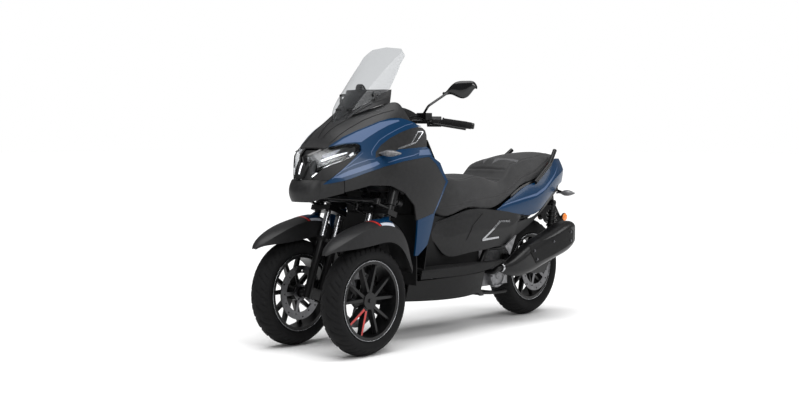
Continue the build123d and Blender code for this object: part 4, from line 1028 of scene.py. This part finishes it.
# Red line on one pair of the left wheel's spokes: turn, radius, half width and rise
HUB = Vector((AXLE_X, TRACK_Y, AXLE_HIGH.z / 2))
PAIR_TURN = 306
FOOT_TURN, FOOT_R, FOOT_HALF, FOOT_RISE = 8, 52 * MM, 6.5 * MM, 36.8 * MM
HEAD_TURN, HEAD_R, HEAD_HALF, HEAD_RISE = 17, 166 * MM, 5.2 * MM, 35.2 * MM
for lean in (-1, 1):
    foot = math.radians(PAIR_TURN + lean * FOOT_TURN)
    head = math.radians(PAIR_TURN + lean * HEAD_TURN)
    inner = Vector((math.cos(foot), 0, math.sin(foot))) * FOOT_R
    outer = Vector((math.cos(head), 0, math.sin(head))) * HEAD_R
    along = (outer - inner).normalized()
    across = Vector((-along.z, 0, along.x))
    inner += LEFT * FOOT_RISE
    outer += LEFT * HEAD_RISE
    corners = [
        inner - across * FOOT_HALF, inner + across * FOOT_HALF,
        outer + across * HEAD_HALF, outer - across * HEAD_HALF,
    ]
    mesh = mesh_of("spoke_line", [HUB + c for c in corners], [(0, 1, 2, 3)])
    piece(f"spoke_line_{'low' if lean < 0 else 'high'}", mesh, RED, "wheel_left")


# Stage: pale floor, soft light and the camera
CAMERA_SPOT = Vector((5.2159, 4.2823, 1.0761))
CAMERA_WAY = Vector((-0.75033, -0.65826, -0.06079))
LENS_MM = 57.5
camera = bpy.data.objects.new("camera", bpy.data.cameras.new("camera"))
bpy.context.scene.collection.objects.link(camera)
camera.location = CAMERA_SPOT
camera.rotation_mode = "QUATERNION"
camera.rotation_quaternion = CAMERA_WAY.to_track_quat("-Z", "Y")
camera.data.sensor_width = 36.0
camera.data.lens = LENS_MM
camera.data.clip_end = 200.0
bpy.context.scene.camera = camera

FLOOR_HALF = 40.0
FLOOR = [(x * FLOOR_HALF, y * FLOOR_HALF, 0) for x, y in ((-1, -1), (1, -1), (1, 1), (-1, 1))]
floor = bpy.data.objects.new("floor", mesh_of("floor", FLOOR, [(0, 1, 2, 3)]))
bpy.context.scene.collection.objects.link(floor)
floor.data.materials.append(surface("pale_floor", (250, 250, 250), 0.8, specular=0.0))

world = bpy.data.worlds.new("studio")
bpy.context.scene.world = world
world.use_nodes = True
tree = world.node_tree
rays = tree.nodes.new("ShaderNodeLightPath")


def glow(strength):
    made = tree.nodes.new("ShaderNodeBackground")
    made.inputs["Color"].default_value = (1, 1, 1, 1)
    made.inputs["Strength"].default_value = strength
    return made.outputs["Background"]


def choose(fac, low, high):
    made = tree.nodes.new("ShaderNodeMixShader")
    tree.links.new(fac, made.inputs["Fac"])
    tree.links.new(low, made.inputs[1])
    tree.links.new(high, made.inputs[2])
    return made.outputs["Shader"]


lit = choose(rays.outputs["Is Glossy Ray"], glow(0.27), glow(0.22))
seen = choose(rays.outputs["Is Transmission Ray"], lit, glow(1.0))
seen = choose(rays.outputs["Is Camera Ray"], seen, glow(1.0))
tree.links.new(seen, tree.nodes["World Output"].inputs["Surface"])

LAMPS = [
    # name, kind, place, target, size, strength
    ("sun", "SUN", (0.7, 0.5, 4.0), (0, 0, 0), math.radians(60), 3.0),
    ("front_left", "AREA", (2.6, 4.4, 3.0), (0.3, 0, 0.8), 1.8, 85),
    ("rear_left", "AREA", (-3.4, 3.0, 2.8), (-0.6, 0, 0.7), 1.6, 45),
]
for name, kind, spot, target, size, strength in LAMPS:
    data = bpy.data.lights.new(name, kind)
    data.energy = strength
    if kind == "SUN":
        data.angle = size
    else:
        data.size = size
    lamp = bpy.data.objects.new(name, data)
    bpy.context.scene.collection.objects.link(lamp)
    lamp.location = spot
    lamp.rotation_mode = "QUATERNION"
    lamp.rotation_quaternion = (Vector(target) - Vector(spot)).to_track_quat("-Z", "Y")
bpy.context.scene.view_settings.view_transform = "Standard"

bpy.context.view_layer.update()
